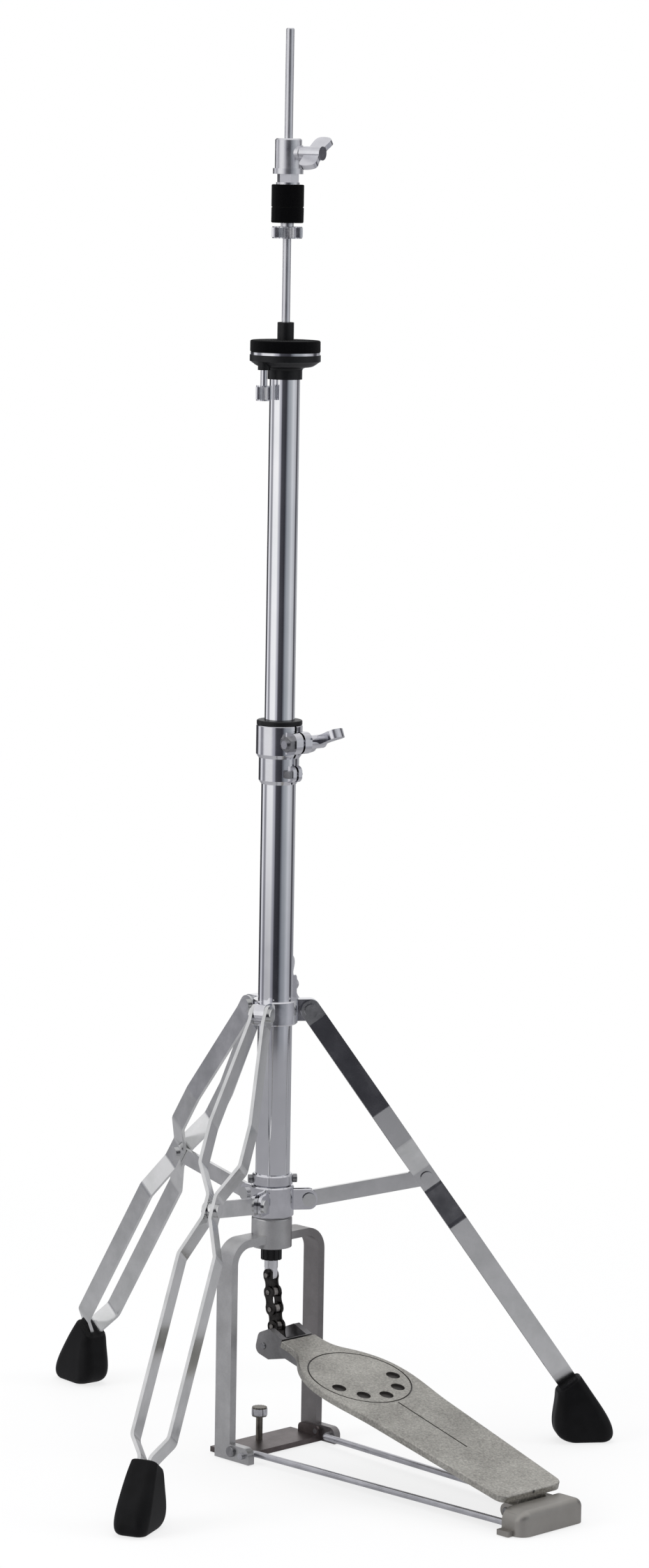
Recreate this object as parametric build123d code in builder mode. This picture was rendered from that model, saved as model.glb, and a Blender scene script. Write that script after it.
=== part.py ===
from build123d import *
import os
from math import asin, atan2, cos, hypot, radians, sin, tan

# A hi-hat stand without cymbals: tripod, telescopic tube, pull rod, clutch, seat and footboard.
# Millimetres. +Z is up, the tube stands on X = Y = 0, the floor is Z = 0, the footboard points to -Y.

os.makedirs("parts", exist_ok=True)

# ---------------------------------------------------------------- clearances
slip = 0.05                 # radial clearance of a running or seated round fit
side_gap = 0.2              # clearance on each side of a flat bar in a fork
seat_gap = 0.3              # clearance under a curved or soft face

# ---------------------------------------------------------------- tubes and rod
lower_tube_diameter = 25.4
upper_tube_diameter = 22.2
tube_wall = 1.3
lower_tube_bottom = 160.0
lower_tube_top = 519.0
upper_tube_bottom = 390.0
upper_tube_top = 801.0
rod_diameter = 6.0
rod_top = 1042.6
coupler_bottom = 540.0
coupler_length = 32.0
coupler_diameter = 10.0
rod_end_gap = 4.0           # between the two rod ends inside the coupler

# ---------------------------------------------------------------- frame and base
frame_width = 88.8          # between the centres of the two uprights
bar_thickness = 6.0
bar_depth = 16.0
frame_top = 163.0
frame_corner_radius = 18.0  # outside the bend
socket_diameter = 30.0
socket_bottom = 153.0
socket_top = 175.5
socket_edge_round = 1.5
foot_reach = 28.0           # how far each foot comes forward of the tube axis
foot_height = 12.0
plate_thickness = 4.0
plate_bottom = 0.0
plate_front = 14.0
plate_back = 19.0
plate_flange_height = 11.0
plate_flange_thickness = 3.0
base_screw_diameter = 4.0
base_screw_head_diameter = 8.0
base_screw_head_height = 2.2
base_screw_y = -10.0
base_screw_z = 7.0
spur_diameter = 5.0
spur_y = 10.0
spur_tip = 0.5
spur_length = 28.0
spur_head_diameter = 11.0
spur_head_height = 7.0
spur_head_notches = 16
spur_notch_depth = 0.5

# ---------------------------------------------------------------- spring and rod eye
nut_diameter = 15.6
nut_height = 10.0
nut_stem_diameter = 12.0
nut_stem_top = 167.0
nut_notches = 12
nut_notch_depth = 0.7
spring_seat_thickness = 2.0
spring_washer_bottom = 262.0
spring_washer_thickness = 2.5
spring_washer_hub_height = 8.0
spring_washer_hub_diameter = 11.0
washer_diameter = 21.8
spring_diameter = 16.0      # at the middle of the wire
spring_wire = 1.8
spring_turns = 9.5
eye_pin_z = 131.0
eye_thickness = 4.6
eye_width = 9.0
eye_head_diameter = 10.0
eye_head_bottom = 136.5

# ---------------------------------------------------------------- chain
chain_pitch = 12.7
chain_links = 4
chain_plate_thickness = 1.2
chain_plate_height = 9.0
chain_pin_diameter = 3.6
chain_pin_length = 11.2
chain_roller_diameter = 7.8
chain_side_gap = 0.1
chain_waist_radius = 9.0
chain_waist_depth = 1.1
toe_pin_diameter = 5.0
toe_eye_clearance = 1.2     # the open pivot of the pedal linkage
toe_eye_wall = 1.8

# ---------------------------------------------------------------- pedal
toe_pin_y = -9.0
heel_pin_y = -262.0
heel_pin_z = 12.0
heel_pin_diameter = 5.0
board_slope = 15.0          # degrees at rest
board_rise = 14.2           # square distance from the heel pin up to the top of the board
board_thickness = 5.0
board_heel_overhang = 4.0  # behind the heel pin
board_heel_width = 62.0
board_heel_corner = 8.0
board_waist_width = 78.0
board_waist = 120.0         # distance from the heel pin, along the board
board_widest = 88.0
board_widest_at = 168.0
board_shoulder_width = 80.0
board_shoulder_at = 194.0
board_taper_width = 56.0
board_taper_at = 214.0
board_toe_width = 34.0
board_toe_at = 238.0
board_toe_length = 6.0
board_toe_gap = 1.5
board_hole_turns = (-76, -38, 0, 38, 76)
board_overlap = 1.0         # how far the knuckle runs into the board
board_edge_round = 0.9
board_hole_diameter = 10.5
board_hole_depth = 2.0
board_holes_radius = 28.5
board_ring_radius = 38.5
board_ring_at = 177.0
board_groove_width = 1.2
board_groove_depth = 0.6
board_groove_start = 64.0
board_groove_end = 136.0
board_rib_spacing = 32.0
board_rib_thickness = 3.0
board_rib_depth = 5.0
board_rib_start = 9.0
board_rib_end = 200.0
knuckle_width = 28.0
knuckle_diameter = 11.0
bracket_width = 31.0
bracket_cheek = 5.5
bracket_thickness = 7.0
bracket_back = 219.0
bracket_web_end = 246.0
bracket_eye_radius = 7.5
bracket_lobe = 2.0
bracket_screw_diameter = 4.0
bracket_screw_head_diameter = 7.0
bracket_screw_head_height = 2.4
bracket_screw_bite = 2.2
bracket_screw_places = (222.0, 233.0)
toe_pin_overhang = 1.0

# ---------------------------------------------------------------- heel plate and rods
heel_width = 66.0
heel_front = -270.0
heel_back = -290.0
heel_height = 18.0
heel_round = 5.0
heel_corner = 9.0           # seen from above
heel_tab_reach = 5.0
heel_tab_length = 11.0
heel_tab_height = 4.0
heel_wall = 2.6
heel_ear_thickness = 6.0
heel_ear_gap = 0.3
heel_pin_overhang = 1.0
radius_rod_diameter = 4.8
radius_rod_z = 6.0
radius_rod_hook = 22.0      # how far in front of the tube axis the rods hook in
radius_rod_front_x = 36.0
radius_rod_inset = 6.0      # from the side of the heel plate
radius_rod_overhang = 3.0
radius_rod_inside = 14.0
radius_rod_straight = 10.0
radius_rod_bend = 4.0

# ---------------------------------------------------------------- tripod
leg_names = ("rear", "left", "right")
leg_first_angle = 84.0      # degrees from +X
leg_slope = 35.0            # degrees from upright when open
leg_pivot_radius = 26.0
leg_strut_at = 155.4        # from the leg's pivot down to the strut rivet
leg_length = 374.0
leg_end_gap = 28.9          # from the strips' end on down the leg's line to the floor
strip_width = 15.0
strip_thickness = 2.5
strip_bow = 31.0            # between the two strips where they stand apart
strip_bow_low = 28.0
strip_bends = (9.0, 90.0, 122.0, 146.0, 164.0, 193.0)
strip_pinch = (18.0, 3.0)   # where the strips close again, above the boot's top
strip_bend_radius = 8.0
foot_spread = 8.0           # between the strip centres inside the boot
lug_thickness = 8.0
lug_height = 16.0
lug_end = 7.0               # beyond the leg pivot
rivet_diameter = 6.0
rivet_head_diameter = 10.0
rivet_head_height = 2.0
upper_collar_diameter = 33.4
upper_collar_drop = 10.0    # its underside below the leg pivots
upper_collar_height = 18.0
lower_collar_diameter = 32.0
lower_collar_bottom = 175.8
lower_collar_height = 23.2
lower_ear_reach = 6.2       # beyond the strut pivot
lower_ear_height = 15.0
lower_ear_thickness = 2.5
strut_pivot_radius = 27.0
strut_pivot_z = 188.0
strut_thickness = 3.0
strut_width = 12.0
strut_hole_clearance = 0.5  # the open pivot of the tripod linkage
ring_diameter = 30.0
ring_height = 8.5
ring_screw_diameter = 4.0
ring_screw_head_diameter = 6.4
ring_screw_head_height = 3.0
ring_screw_angle = 144.0
ring_bevel = 1.0
boot_top_depth = 21.0
boot_top_width = 19.6
boot_top_corner = 6.0
boot_grip = 25.0            # how far the strips go down into the boot
boot_edge_round = 1.5
boot_levels = (0.0, 5.0, 14.0, 28.0)      # heights of the sections the boot's skin runs through
boot_heels = (31.0, 39.0, 41.8, 40.5)     # behind the point where the leg's line meets the floor
boot_toes = (-0.5, 3.2, 1.2, -7.0)        # ahead of that point
boot_widths = (21.0, 25.6, 26.6, 24.6)
boot_corners = (6.0, 8.0, 9.0, 8.0)
collar_boss_angle = 24.0
collar_boss_width = 14.0
collar_boss_reach = 25.0
collar_boss_rise = 23.0     # its top above the leg pivots
collar_bolt_rise = 14.0     # above the leg pivots

# ---------------------------------------------------------------- height clamp
clamp_overlap = 2.0         # the tube's end above the step
clamp_lower_height = 19.3
clamp_upper_height = 24.3
clamp_lower_diameter = 29.6
clamp_upper_diameter = 34.0
bushing_diameter = 28.0
bushing_rim_diameter = 33.4
bushing_rim_height = 3.2
clamp_slit = 2.0
clamp_ear_width = 16.0
clamp_ear_reach = 26.5
clamp_ear_height = 16.0
clamp_bolt_y = -20.5
clamp_bolt_rise = 12.0      # above the step
key_ear_width = 9.0
key_ear_reach = 20.0
key_ear_height = 12.0
key_bolt_y = -17.0
key_bolt_drop = 11.0        # below the step
key_bolt_diameter = 3.6
key_bolt_head = 5.0
key_bolt_head_height = 4.0
key_bolt_end = 1.5
clamp_bevel = 1.8
clamp_bevel_height = 2.8
bolt_end = 2.0
bolt_diameter = 6.0
clamp_nut_flats = 10.0
clamp_nut_height = 5.0

# ---------------------------------------------------------------- wing bolts
wing_span = 42.0
wing_thickness = 4.0
wing_hub_diameter = 10.0
wing_hub_rise = 6.0         # the hub's top above the foot of the wings
wing_rise = 13.0
wing_root = 3.0
wing_tip_depth = 7.0
height_wing_root = 8.0
height_wing_rise = 13.0
height_wing_tip_depth = 11.0
height_wing_hub_rise = 8.0
height_wing_thickness = 6.5
wing_tilt = radians(23)
tripod_wing_tilt = radians(12)
clutch_wing_tilt = radians(51)
clutch_wing_span = 32.0
clutch_wing_root = 4.5
clutch_wing_rise = 14.5
clutch_wing_tip_depth = 12.5
clutch_wing_hub_rise = 13.5

# ---------------------------------------------------------------- seat
cup_grip = 9.0              # down over the tube
cup_rise = 8.5              # above the tube's end
cup_diameter = 51.4
cup_rim_height = 4.5
cup_neck_diameter = 25.0
cup_neck_height = 6.0
cup_flare = 14.0
cup_flare_height = 10.0
cup_hole_diameter = 17.0
tilt_screw_radius = 21.0
tilt_boss_diameter = 9.0
tilt_boss_drop = 2.0
tilt_screw_diameter = 5.0
tilt_knob_diameter = 11.0
tilt_knob_height = 11.0
tilt_knob_drop = 24.0
tilt_knob_notches = 16
seat_washer_diameter = 50.4
seat_washer_thickness = 1.9
seat_felt_diameter = 51.0
seat_felt_thickness = 8.6
felt_round = 2.0
sleeve_diameter = 12.0
sleeve_bore = 10.0
sleeve_rise = 3.0           # its foot above the tube's end
sleeve_length = 29.0
sleeve_flange_diameter = 15.6
sleeve_flange_height = 2.2
guide_height = 12.0

# ---------------------------------------------------------------- clutch
clutch_top = 964.3
clutch_flange_z = 943.0
clutch_flange_height = 4.0
clutch_diameter = 19.4
clutch_flange_diameter = 22.0
clutch_hex_flats = 14.0
clutch_hex_bottom = 933.0
clutch_washer_diameter = 17.0
clutch_washer_thickness = 1.5
clutch_stem_diameter = 9.4
clutch_stem_bottom = 893.0
clutch_screw_angle = -78.0
clutch_screw_z = 954.0
clutch_boss_diameter = 11.0
clutch_boss_reach = 11.5
clutch_felt_diameter = 23.6
clutch_upper_felt_thickness = 16.2
clutch_lower_felt_thickness = 11.2
clutch_nut_diameter = 21.6
clutch_nut_height = 8.5
clutch_nut_knurls = 24
clutch_knurl_depth = 0.5
clutch_bevel = 1.0
clutch_felt_round = 1.2

# ---------------------------------------------------------------- worked out from the sizes above
rod_radius = rod_diameter / 2
lower_tube_radius = lower_tube_diameter / 2
upper_tube_radius = upper_tube_diameter / 2
lower_tube_bore = lower_tube_radius - tube_wall
upper_tube_bore = upper_tube_radius - tube_wall
frame_half = frame_width / 2
frame_outside = frame_half + bar_thickness / 2
frame_inside = frame_half - bar_thickness / 2
nut_bottom = socket_bottom - nut_height
spring_bottom = nut_stem_top + spring_seat_thickness
chain_length = chain_pitch * chain_links
chain_lean = asin(-toe_pin_y / chain_length)
toe_pin_z = eye_pin_z - chain_length * cos(chain_lean)
radius_rod_heel_x = heel_width / 2 - radius_rod_inset
leg_angles = [leg_first_angle + turn for turn in (0, 120, 240)]
leg_pivot_z = round((leg_length + leg_end_gap) * cos(radians(leg_slope)), 1)
upper_collar_bottom = leg_pivot_z - upper_collar_drop
collar_boss_top = leg_pivot_z + collar_boss_rise
collar_bolt_z = leg_pivot_z + collar_bolt_rise
strut_end_radius = leg_pivot_radius + leg_strut_at * sin(radians(leg_slope))
strut_end_z = leg_pivot_z - leg_strut_at * cos(radians(leg_slope))
strut_length = hypot(strut_end_radius - strut_pivot_radius, strut_end_z - strut_pivot_z)
strip_inner_at_strut = strut_thickness / 2 + side_gap
lower_collar_top = lower_collar_bottom + lower_collar_height
clamp_step = lower_tube_top - clamp_overlap
clamp_bottom = clamp_step - clamp_lower_height
clamp_top = clamp_step + clamp_upper_height
clamp_bolt_z = clamp_step + clamp_bolt_rise
key_bolt_z = clamp_step - key_bolt_drop
cup_bottom = upper_tube_top - cup_grip
cup_top = upper_tube_top + cup_rise
tilt_boss_bottom = upper_tube_top - tilt_boss_drop
tilt_knob_bottom = upper_tube_top - tilt_knob_drop
sleeve_bottom = upper_tube_top + sleeve_rise
sleeve_top = sleeve_bottom + sleeve_length


# ---------------------------------------------------------------- shared ways of making things
def write(piece, name):
    """Label a finished piece and write its own STEP file."""
    piece.part.label = name
    export_step(piece.part, f"parts/{name}.step")


def sleeve(outer, inner, bottom, top):
    """A plain tube or ring about the Z axis, by its radii and heights."""
    with BuildPart() as piece:
        with BuildSketch(Plane.XY.offset(bottom)):
            Circle(outer)
            if inner > 0:
                Circle(inner, mode=Mode.SUBTRACT)
        extrude(amount=top - bottom)
    return piece


def radial(angle):
    """Unit vector pointing away from the tube at an angle from +X, in degrees."""
    return Vector(cos(radians(angle)), sin(radians(angle)), 0)


def tangent(angle):
    """Unit vector across the radial one, anticlockwise."""
    return Vector(-sin(radians(angle)), cos(radians(angle)), 0)


def upright_plane(angle, offset=0.0):
    """Plane through the tube axis: its x runs outward, its y runs up, offset across."""
    return Plane(origin=tangent(angle) * offset, x_dir=radial(angle), z_dir=-tangent(angle))


def bolt_plane(origin, axis, across):
    """Plane square to a bolt: its z is the bolt's axis, its x is the way the wings spread."""
    return Plane(origin=origin, x_dir=across, z_dir=axis)


def wing_bolt(
    plane,
    shank_length,
    shank_diameter,
    span=wing_span,
    root=wing_root,
    rise=wing_rise,
    tip_depth=wing_tip_depth,
    hub_rise=wing_hub_rise,
    thickness=wing_thickness,
):
    """Bolt with two wings: the plane's z points out of the head, its x runs along the wings."""
    wing_plane = Plane(origin=plane.origin, x_dir=plane.x_dir, z_dir=-plane.y_dir)
    half = span / 2
    top = root + rise
    hub_height = root + hub_rise
    with BuildPart() as piece:
        with BuildSketch(plane.offset(-shank_length)):
            Circle(shank_diameter / 2)
        extrude(amount=shank_length + root)
        with BuildSketch(plane):
            Circle(wing_hub_diameter / 2)
        extrude(amount=hub_height)
        with BuildSketch(wing_plane):
            with BuildLine():
                Spline(
                    (0, root),
                    (half * 0.45, root + (rise - tip_depth) * 0.25),
                    (half * 0.92, top - tip_depth),
                    (half, top - tip_depth * 0.4),
                    (half * 0.85, top),
                    (half * 0.45, hub_height + (top - hub_height) * 0.2),
                    (0, hub_height),
                    tangents=((1, 0), (-1, 0)),
                )
                Line((0, hub_height), (0, root))
            make_face()
            mirror(about=Plane.YZ)
        extrude(amount=thickness / 2, both=True)
    return piece


# ================================================================ base and frame
with BuildPart() as base_frame:
    with BuildSketch(Plane.XZ):
        Rectangle(2 * frame_outside, frame_top, align=(Align.CENTER, Align.MIN))
        fillet(vertices().group_by(Axis.Y)[-1], frame_corner_radius)
        opening_top = frame_top - bar_thickness
        Rectangle(2 * frame_inside, opening_top, align=(Align.CENTER, Align.MIN), mode=Mode.SUBTRACT)
        fillet(
            vertices().filter_by_position(Axis.Y, opening_top - slip, opening_top + slip),
            frame_corner_radius - bar_thickness,
        )
    extrude(amount=bar_depth / 2, both=True)
    for side in (-1, 1):
        with BuildSketch(Plane.YZ.offset(side * frame_half)):
            Rectangle(foot_reach, foot_height, align=(Align.MAX, Align.MIN))
            fillet(vertices().group_by(Axis.X)[0].sort_by(Axis.Y)[-1], foot_height / 2)
            with Locations((-radius_rod_hook, radius_rod_z)):
                Circle(radius_rod_diameter / 2 + slip, mode=Mode.SUBTRACT)
        extrude(amount=bar_thickness / 2, both=True)
    with BuildSketch(Plane.XY.offset(socket_bottom)):
        Circle(socket_diameter / 2)
    extrude(amount=socket_top - socket_bottom)
    fillet(edges().filter_by(GeomType.CIRCLE).sort_by(Axis.Z)[-1], socket_edge_round)
    with BuildSketch(Plane.XY.offset(lower_tube_bottom)):
        Circle(lower_tube_radius + slip)
    extrude(amount=socket_top - lower_tube_bottom, mode=Mode.SUBTRACT)
    with BuildSketch(Plane.XY.offset(socket_bottom)):
        Circle(nut_stem_diameter / 2 + slip)
    extrude(amount=lower_tube_bottom - socket_bottom, mode=Mode.SUBTRACT)
    with BuildSketch(Plane.YZ):
        with Locations((base_screw_y, base_screw_z)):
            Circle(base_screw_diameter / 2 + slip)
    extrude(amount=2 * frame_outside, both=True, mode=Mode.SUBTRACT)
write(base_frame, "base_frame")

with BuildPart() as base_plate:
    with BuildSketch(Plane.XY.offset(plate_bottom)):
        with Locations((0, (plate_back - plate_front) / 2)):
            Rectangle(2 * frame_inside, plate_back + plate_front)
    extrude(amount=plate_thickness)
    for side in (-1, 1):
        with BuildSketch(Plane.YZ.offset(side * (frame_inside - plate_flange_thickness / 2))):
            with Locations((-plate_front, plate_bottom)):
                Rectangle(plate_front + bar_depth / 2, plate_flange_height, align=(Align.MIN, Align.MIN))
            fillet(vertices().group_by(Axis.Y)[-1], plate_flange_height / 3)
        extrude(amount=plate_flange_thickness / 2, both=True)
    with BuildSketch(Plane.YZ):
        with Locations((base_screw_y, base_screw_z)):
            Circle(base_screw_diameter / 2 + slip)
    extrude(amount=2 * frame_outside, both=True, mode=Mode.SUBTRACT)
    with BuildSketch(Plane.XY.offset(plate_bottom)):
        with Locations((0, spur_y)):
            Circle(spur_diameter / 2 + slip)
    extrude(amount=plate_thickness, mode=Mode.SUBTRACT)
write(base_plate, "base_plate")

with BuildPart() as base_screws:
    for side in (-1, 1):
        inner_end = frame_inside - plate_flange_thickness
        with BuildSketch(Plane.YZ.offset(side * inner_end)):
            with Locations((base_screw_y, base_screw_z)):
                Circle(base_screw_diameter / 2)
        extrude(amount=side * (bar_thickness + plate_flange_thickness))
        with BuildSketch(Plane.YZ.offset(side * frame_outside)):
            with Locations((base_screw_y, base_screw_z)):
                Circle(base_screw_head_diameter / 2)
        extrude(amount=side * base_screw_head_height)
    fillet(
        edges().filter_by(GeomType.CIRCLE).group_by(Axis.X)[0]
        + edges().filter_by(GeomType.CIRCLE).group_by(Axis.X)[-1],
        base_screw_head_height / 3,
    )
write(base_screws, "base_screws")

with BuildPart() as spur_bolt:
    with BuildSketch(Plane.XY.offset(spur_tip)):
        with Locations((0, spur_y)):
            Circle(spur_diameter / 2)
    extrude(amount=spur_length)
    chamfer(edges().group_by(Axis.Z)[0], spur_diameter / 4)
    with BuildSketch(Plane.XY.offset(spur_tip + spur_length - spur_head_height)):
        with Locations((0, spur_y)):
            Circle(spur_head_diameter / 2)
            with PolarLocations(spur_head_diameter / 2, spur_head_notches):
                Circle(spur_notch_depth, mode=Mode.SUBTRACT)
    extrude(amount=spur_head_height)
write(spur_bolt, "spur_bolt")

with BuildPart() as radius_rods:
    for side in (-1, 1):
        with BuildLine():
            FilletPolyline(
                (side * (frame_outside + radius_rod_overhang), -radius_rod_hook, radius_rod_z),
                (side * radius_rod_front_x, -radius_rod_hook, radius_rod_z),
                (side * radius_rod_heel_x, heel_front + radius_rod_straight, radius_rod_z),
                (side * radius_rod_heel_x, heel_front - radius_rod_inside, radius_rod_z),
                radius=radius_rod_bend,
            )
        with BuildSketch(Plane.YZ.offset(side * (frame_outside + radius_rod_overhang))):
            with Locations((-radius_rod_hook, radius_rod_z)):
                Circle(radius_rod_diameter / 2)
        sweep()
write(radius_rods, "radius_rods")

# ================================================================ heel plate and footboard
heel_depth = heel_front - heel_back
with BuildPart() as heel_plate:
    with BuildSketch(Plane.YZ):
        with Locations((heel_back, 0)):
            Rectangle(heel_depth, heel_height, align=(Align.MIN, Align.MIN))
        fillet(vertices().group_by(Axis.Y)[-1].sort_by(Axis.X)[0], heel_round)
    extrude(amount=heel_width / 2, both=True)
    fillet(edges().filter_by(Axis.Z).group_by(Axis.Y)[0], heel_corner)
    with BuildSketch(Plane.XY):
        with Locations((0, heel_back + heel_wall)):
            Rectangle(heel_width - 2 * heel_wall, heel_depth - 2 * heel_wall, align=(Align.CENTER, Align.MIN))
        fillet(vertices().group_by(Axis.Y)[0], heel_corner - heel_wall)
    extrude(amount=heel_height - heel_wall, mode=Mode.SUBTRACT)
    for side in (-1, 1):
        with BuildSketch(Plane.XY):
            with Locations((side * (heel_width - heel_wall + heel_tab_reach) / 2, heel_front)):
                Rectangle(heel_tab_reach + heel_wall, heel_tab_length, align=(Align.CENTER, Align.MAX))
                fillet(vertices().group_by(Axis.Y)[0], heel_wall / 2)
        extrude(amount=heel_tab_height)
        with BuildSketch(Plane.YZ.offset(side * (knuckle_width / 2 + heel_ear_gap))):
            with Locations((heel_pin_y, heel_pin_z)):
                Circle(knuckle_diameter / 2)
                Rectangle(heel_pin_y - heel_front, knuckle_diameter, align=(Align.MAX, Align.CENTER))
        extrude(amount=side * heel_ear_thickness)
        with BuildSketch(Plane.XZ.offset(-heel_front)):
            with Locations((side * radius_rod_heel_x, radius_rod_z)):
                Circle(radius_rod_diameter / 2 + slip)
        extrude(amount=heel_wall, mode=Mode.SUBTRACT)
    with BuildSketch(Plane.YZ):
        with Locations((heel_pin_y, heel_pin_z)):
            Circle(heel_pin_diameter / 2 + slip)
    extrude(amount=heel_width, both=True, mode=Mode.SUBTRACT)
write(heel_plate, "heel_plate")

with BuildPart() as heel_hinge_pin:
    with BuildSketch(Plane.YZ):
        with Locations((heel_pin_y, heel_pin_z)):
            Circle(heel_pin_diameter / 2)
    extrude(amount=knuckle_width / 2 + heel_ear_gap + heel_ear_thickness + heel_pin_overhang, both=True)
    chamfer(edges().filter_by(GeomType.CIRCLE), heel_pin_overhang / 2)
write(heel_hinge_pin, "heel_hinge_pin")

board_up = Vector(0, cos(radians(board_slope)), sin(radians(board_slope)))
board_normal = Vector(0, -sin(radians(board_slope)), cos(radians(board_slope)))
heel_pin = Vector(0, heel_pin_y, heel_pin_z)
toe_from_heel = Vector(0, toe_pin_y, toe_pin_z) - heel_pin
toe_along = toe_from_heel.dot(board_up)
toe_rise = toe_from_heel.dot(board_normal)
board_underside = board_rise - board_thickness
board_end = board_toe_at + board_toe_length
bracket_bottom = board_underside - bracket_thickness


def board_plane(rise):
    """Plane parallel to the footboard: x across, y up the board from the heel pin."""
    return Plane(origin=heel_pin + board_normal * rise, x_dir=(1, 0, 0), z_dir=board_normal)


def board_side(offset):
    """Plane along the footboard: x up the board from the heel pin, y square to it."""
    return Plane(origin=heel_pin + Vector(offset, 0, 0), x_dir=board_up, z_dir=(1, 0, 0))


with BuildPart() as footboard:
    with BuildSketch(board_plane(board_underside)):
        with BuildLine():
            edge_heel = Line((0, -board_heel_overhang), (board_heel_width / 2, -board_heel_overhang))
            edge_side = Line(edge_heel @ 1, (board_waist_width / 2, board_waist))
            edge_toe = Spline(
                edge_side @ 1,
                (board_widest / 2, board_widest_at),
                (board_shoulder_width / 2, board_shoulder_at),
                (board_taper_width / 2, board_taper_at),
                (board_toe_width / 2, board_toe_at),
                tangents=(edge_side % 1, (0, 1)),
            )
            edge_end = Line(edge_toe @ 1, (board_toe_width / 2, board_end))
            Line(edge_end @ 1, (0, board_end))
            Line((0, board_end), (0, -board_heel_overhang))
        make_face()
        mirror(about=Plane.YZ)
        fillet(vertices().group_by(Axis.Y)[0].sort_by(Axis.X)[0], board_heel_corner)
        fillet(vertices().group_by(Axis.Y)[0].sort_by(Axis.X)[-1], board_heel_corner)
    extrude(amount=board_thickness)
    fillet(edges().group_by(Axis(tuple(heel_pin), tuple(board_normal)))[-1], board_edge_round)
    with BuildSketch(board_plane(board_rise - board_hole_depth)):
        with Locations((0, board_ring_at)):
            for turn in board_hole_turns:
                with PolarLocations(board_holes_radius, 1, start_angle=turn - 90):
                    Circle(board_hole_diameter / 2)
    extrude(amount=board_thickness, mode=Mode.SUBTRACT)
    with BuildSketch(board_plane(board_rise - board_groove_depth)):
        with Locations((0, board_ring_at)):
            Circle(board_ring_radius + board_groove_width / 2)
            Circle(board_ring_radius - board_groove_width / 2, mode=Mode.SUBTRACT)
        with Locations((0, board_groove_start)):
            Rectangle(
                board_groove_width,
                board_groove_end - board_groove_start,
                align=(Align.CENTER, Align.MIN),
            )
    extrude(amount=board_thickness, mode=Mode.SUBTRACT)
    for side in (-1, 1):
        with BuildSketch(board_plane(board_underside)):
            with Locations((side * board_rib_spacing / 2, board_rib_start)):
                Rectangle(
                    board_rib_thickness,
                    board_rib_end - board_rib_start,
                    align=(Align.CENTER, Align.MIN),
                )
        extrude(amount=-board_rib_depth)
    with BuildSketch(board_side(0)):
        Circle(knuckle_diameter / 2)
        with Locations((-board_heel_overhang, 0)):
            Rectangle(
                board_heel_overhang + knuckle_diameter / 2,
                board_underside + board_overlap,
                align=(Align.MIN, Align.MIN),
            )
    extrude(amount=knuckle_width / 2, both=True)
    with BuildSketch(board_side(0)):
        Circle(heel_pin_diameter / 2 + slip)
    extrude(amount=knuckle_width, both=True, mode=Mode.SUBTRACT)
    with BuildSketch(board_plane(board_underside)):
        for place in bracket_screw_places:
            with Locations((0, place)):
                Circle(bracket_screw_diameter / 2 + slip)
    extrude(amount=bracket_screw_bite + slip, mode=Mode.SUBTRACT)
write(footboard, "footboard")

with BuildPart() as toe_bracket:
    with BuildSketch(board_side(0)):
        with BuildLine():
            Polyline(
                (bracket_back, board_underside),
                (board_end + board_toe_gap, board_underside),
                (board_end + board_toe_gap, board_rise),
                (toe_along - bracket_lobe, board_rise + bracket_lobe),
                (toe_along + bracket_eye_radius, toe_rise + bracket_eye_radius),
                (toe_along + bracket_eye_radius, toe_rise - bracket_eye_radius),
                (toe_along - bracket_eye_radius, toe_rise - bracket_eye_radius),
                (bracket_web_end - bracket_eye_radius, bracket_bottom),
                (bracket_back, bracket_bottom),
                close=True,
            )
        make_face()
        fillet(vertices().sort_by(Axis.X)[-2:], bracket_eye_radius - bracket_lobe)
        fillet(vertices().group_by(Axis.Y)[-1], bracket_lobe)
        with Locations((toe_along, toe_rise)):
            Circle(toe_pin_diameter / 2 + slip, mode=Mode.SUBTRACT)
    extrude(amount=bracket_width / 2, both=True)
    with BuildSketch(board_side(0)):
        with Locations((bracket_web_end, toe_rise)):
            Rectangle(chain_length, chain_length, align=(Align.MIN, Align.CENTER))
    extrude(amount=bracket_width / 2 - bracket_cheek, both=True, mode=Mode.SUBTRACT)
    with BuildSketch(board_plane(bracket_bottom)):
        for place in bracket_screw_places:
            with Locations((0, place)):
                Circle(bracket_screw_diameter / 2 + slip)
    extrude(amount=bracket_thickness, mode=Mode.SUBTRACT)
write(toe_bracket, "toe_bracket")

with BuildPart() as toe_bracket_screws:
    for place in bracket_screw_places:
        with BuildSketch(board_plane(bracket_bottom)):
            with Locations((0, place)):
                Circle(bracket_screw_diameter / 2)
        extrude(amount=bracket_thickness + bracket_screw_bite)
        with BuildSketch(board_plane(bracket_bottom)):
            with Locations((0, place)):
                Circle(bracket_screw_head_diameter / 2)
        extrude(amount=-bracket_screw_head_height)
write(toe_bracket_screws, "toe_bracket_screws")

with BuildPart() as toe_pin:
    with BuildSketch(board_side(0)):
        with Locations((toe_along, toe_rise)):
            Circle(toe_pin_diameter / 2)
    extrude(amount=bracket_width / 2 + toe_pin_overhang, both=True)
    chamfer(edges().filter_by(GeomType.CIRCLE), toe_pin_overhang / 2)
write(toe_pin, "toe_pin")

# ================================================================ chain
chain_inner_face = eye_thickness / 2 + chain_side_gap
chain_outer_face = chain_inner_face + chain_plate_thickness + chain_side_gap
chain_down = Vector(0, -sin(chain_lean), -cos(chain_lean))


def chain_plane(offset):
    """Plane of a chain plate: x runs down the chain from the pin in the rod's eye."""
    return Plane(origin=(offset, 0, eye_pin_z), x_dir=chain_down, z_dir=(1, 0, 0))


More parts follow.
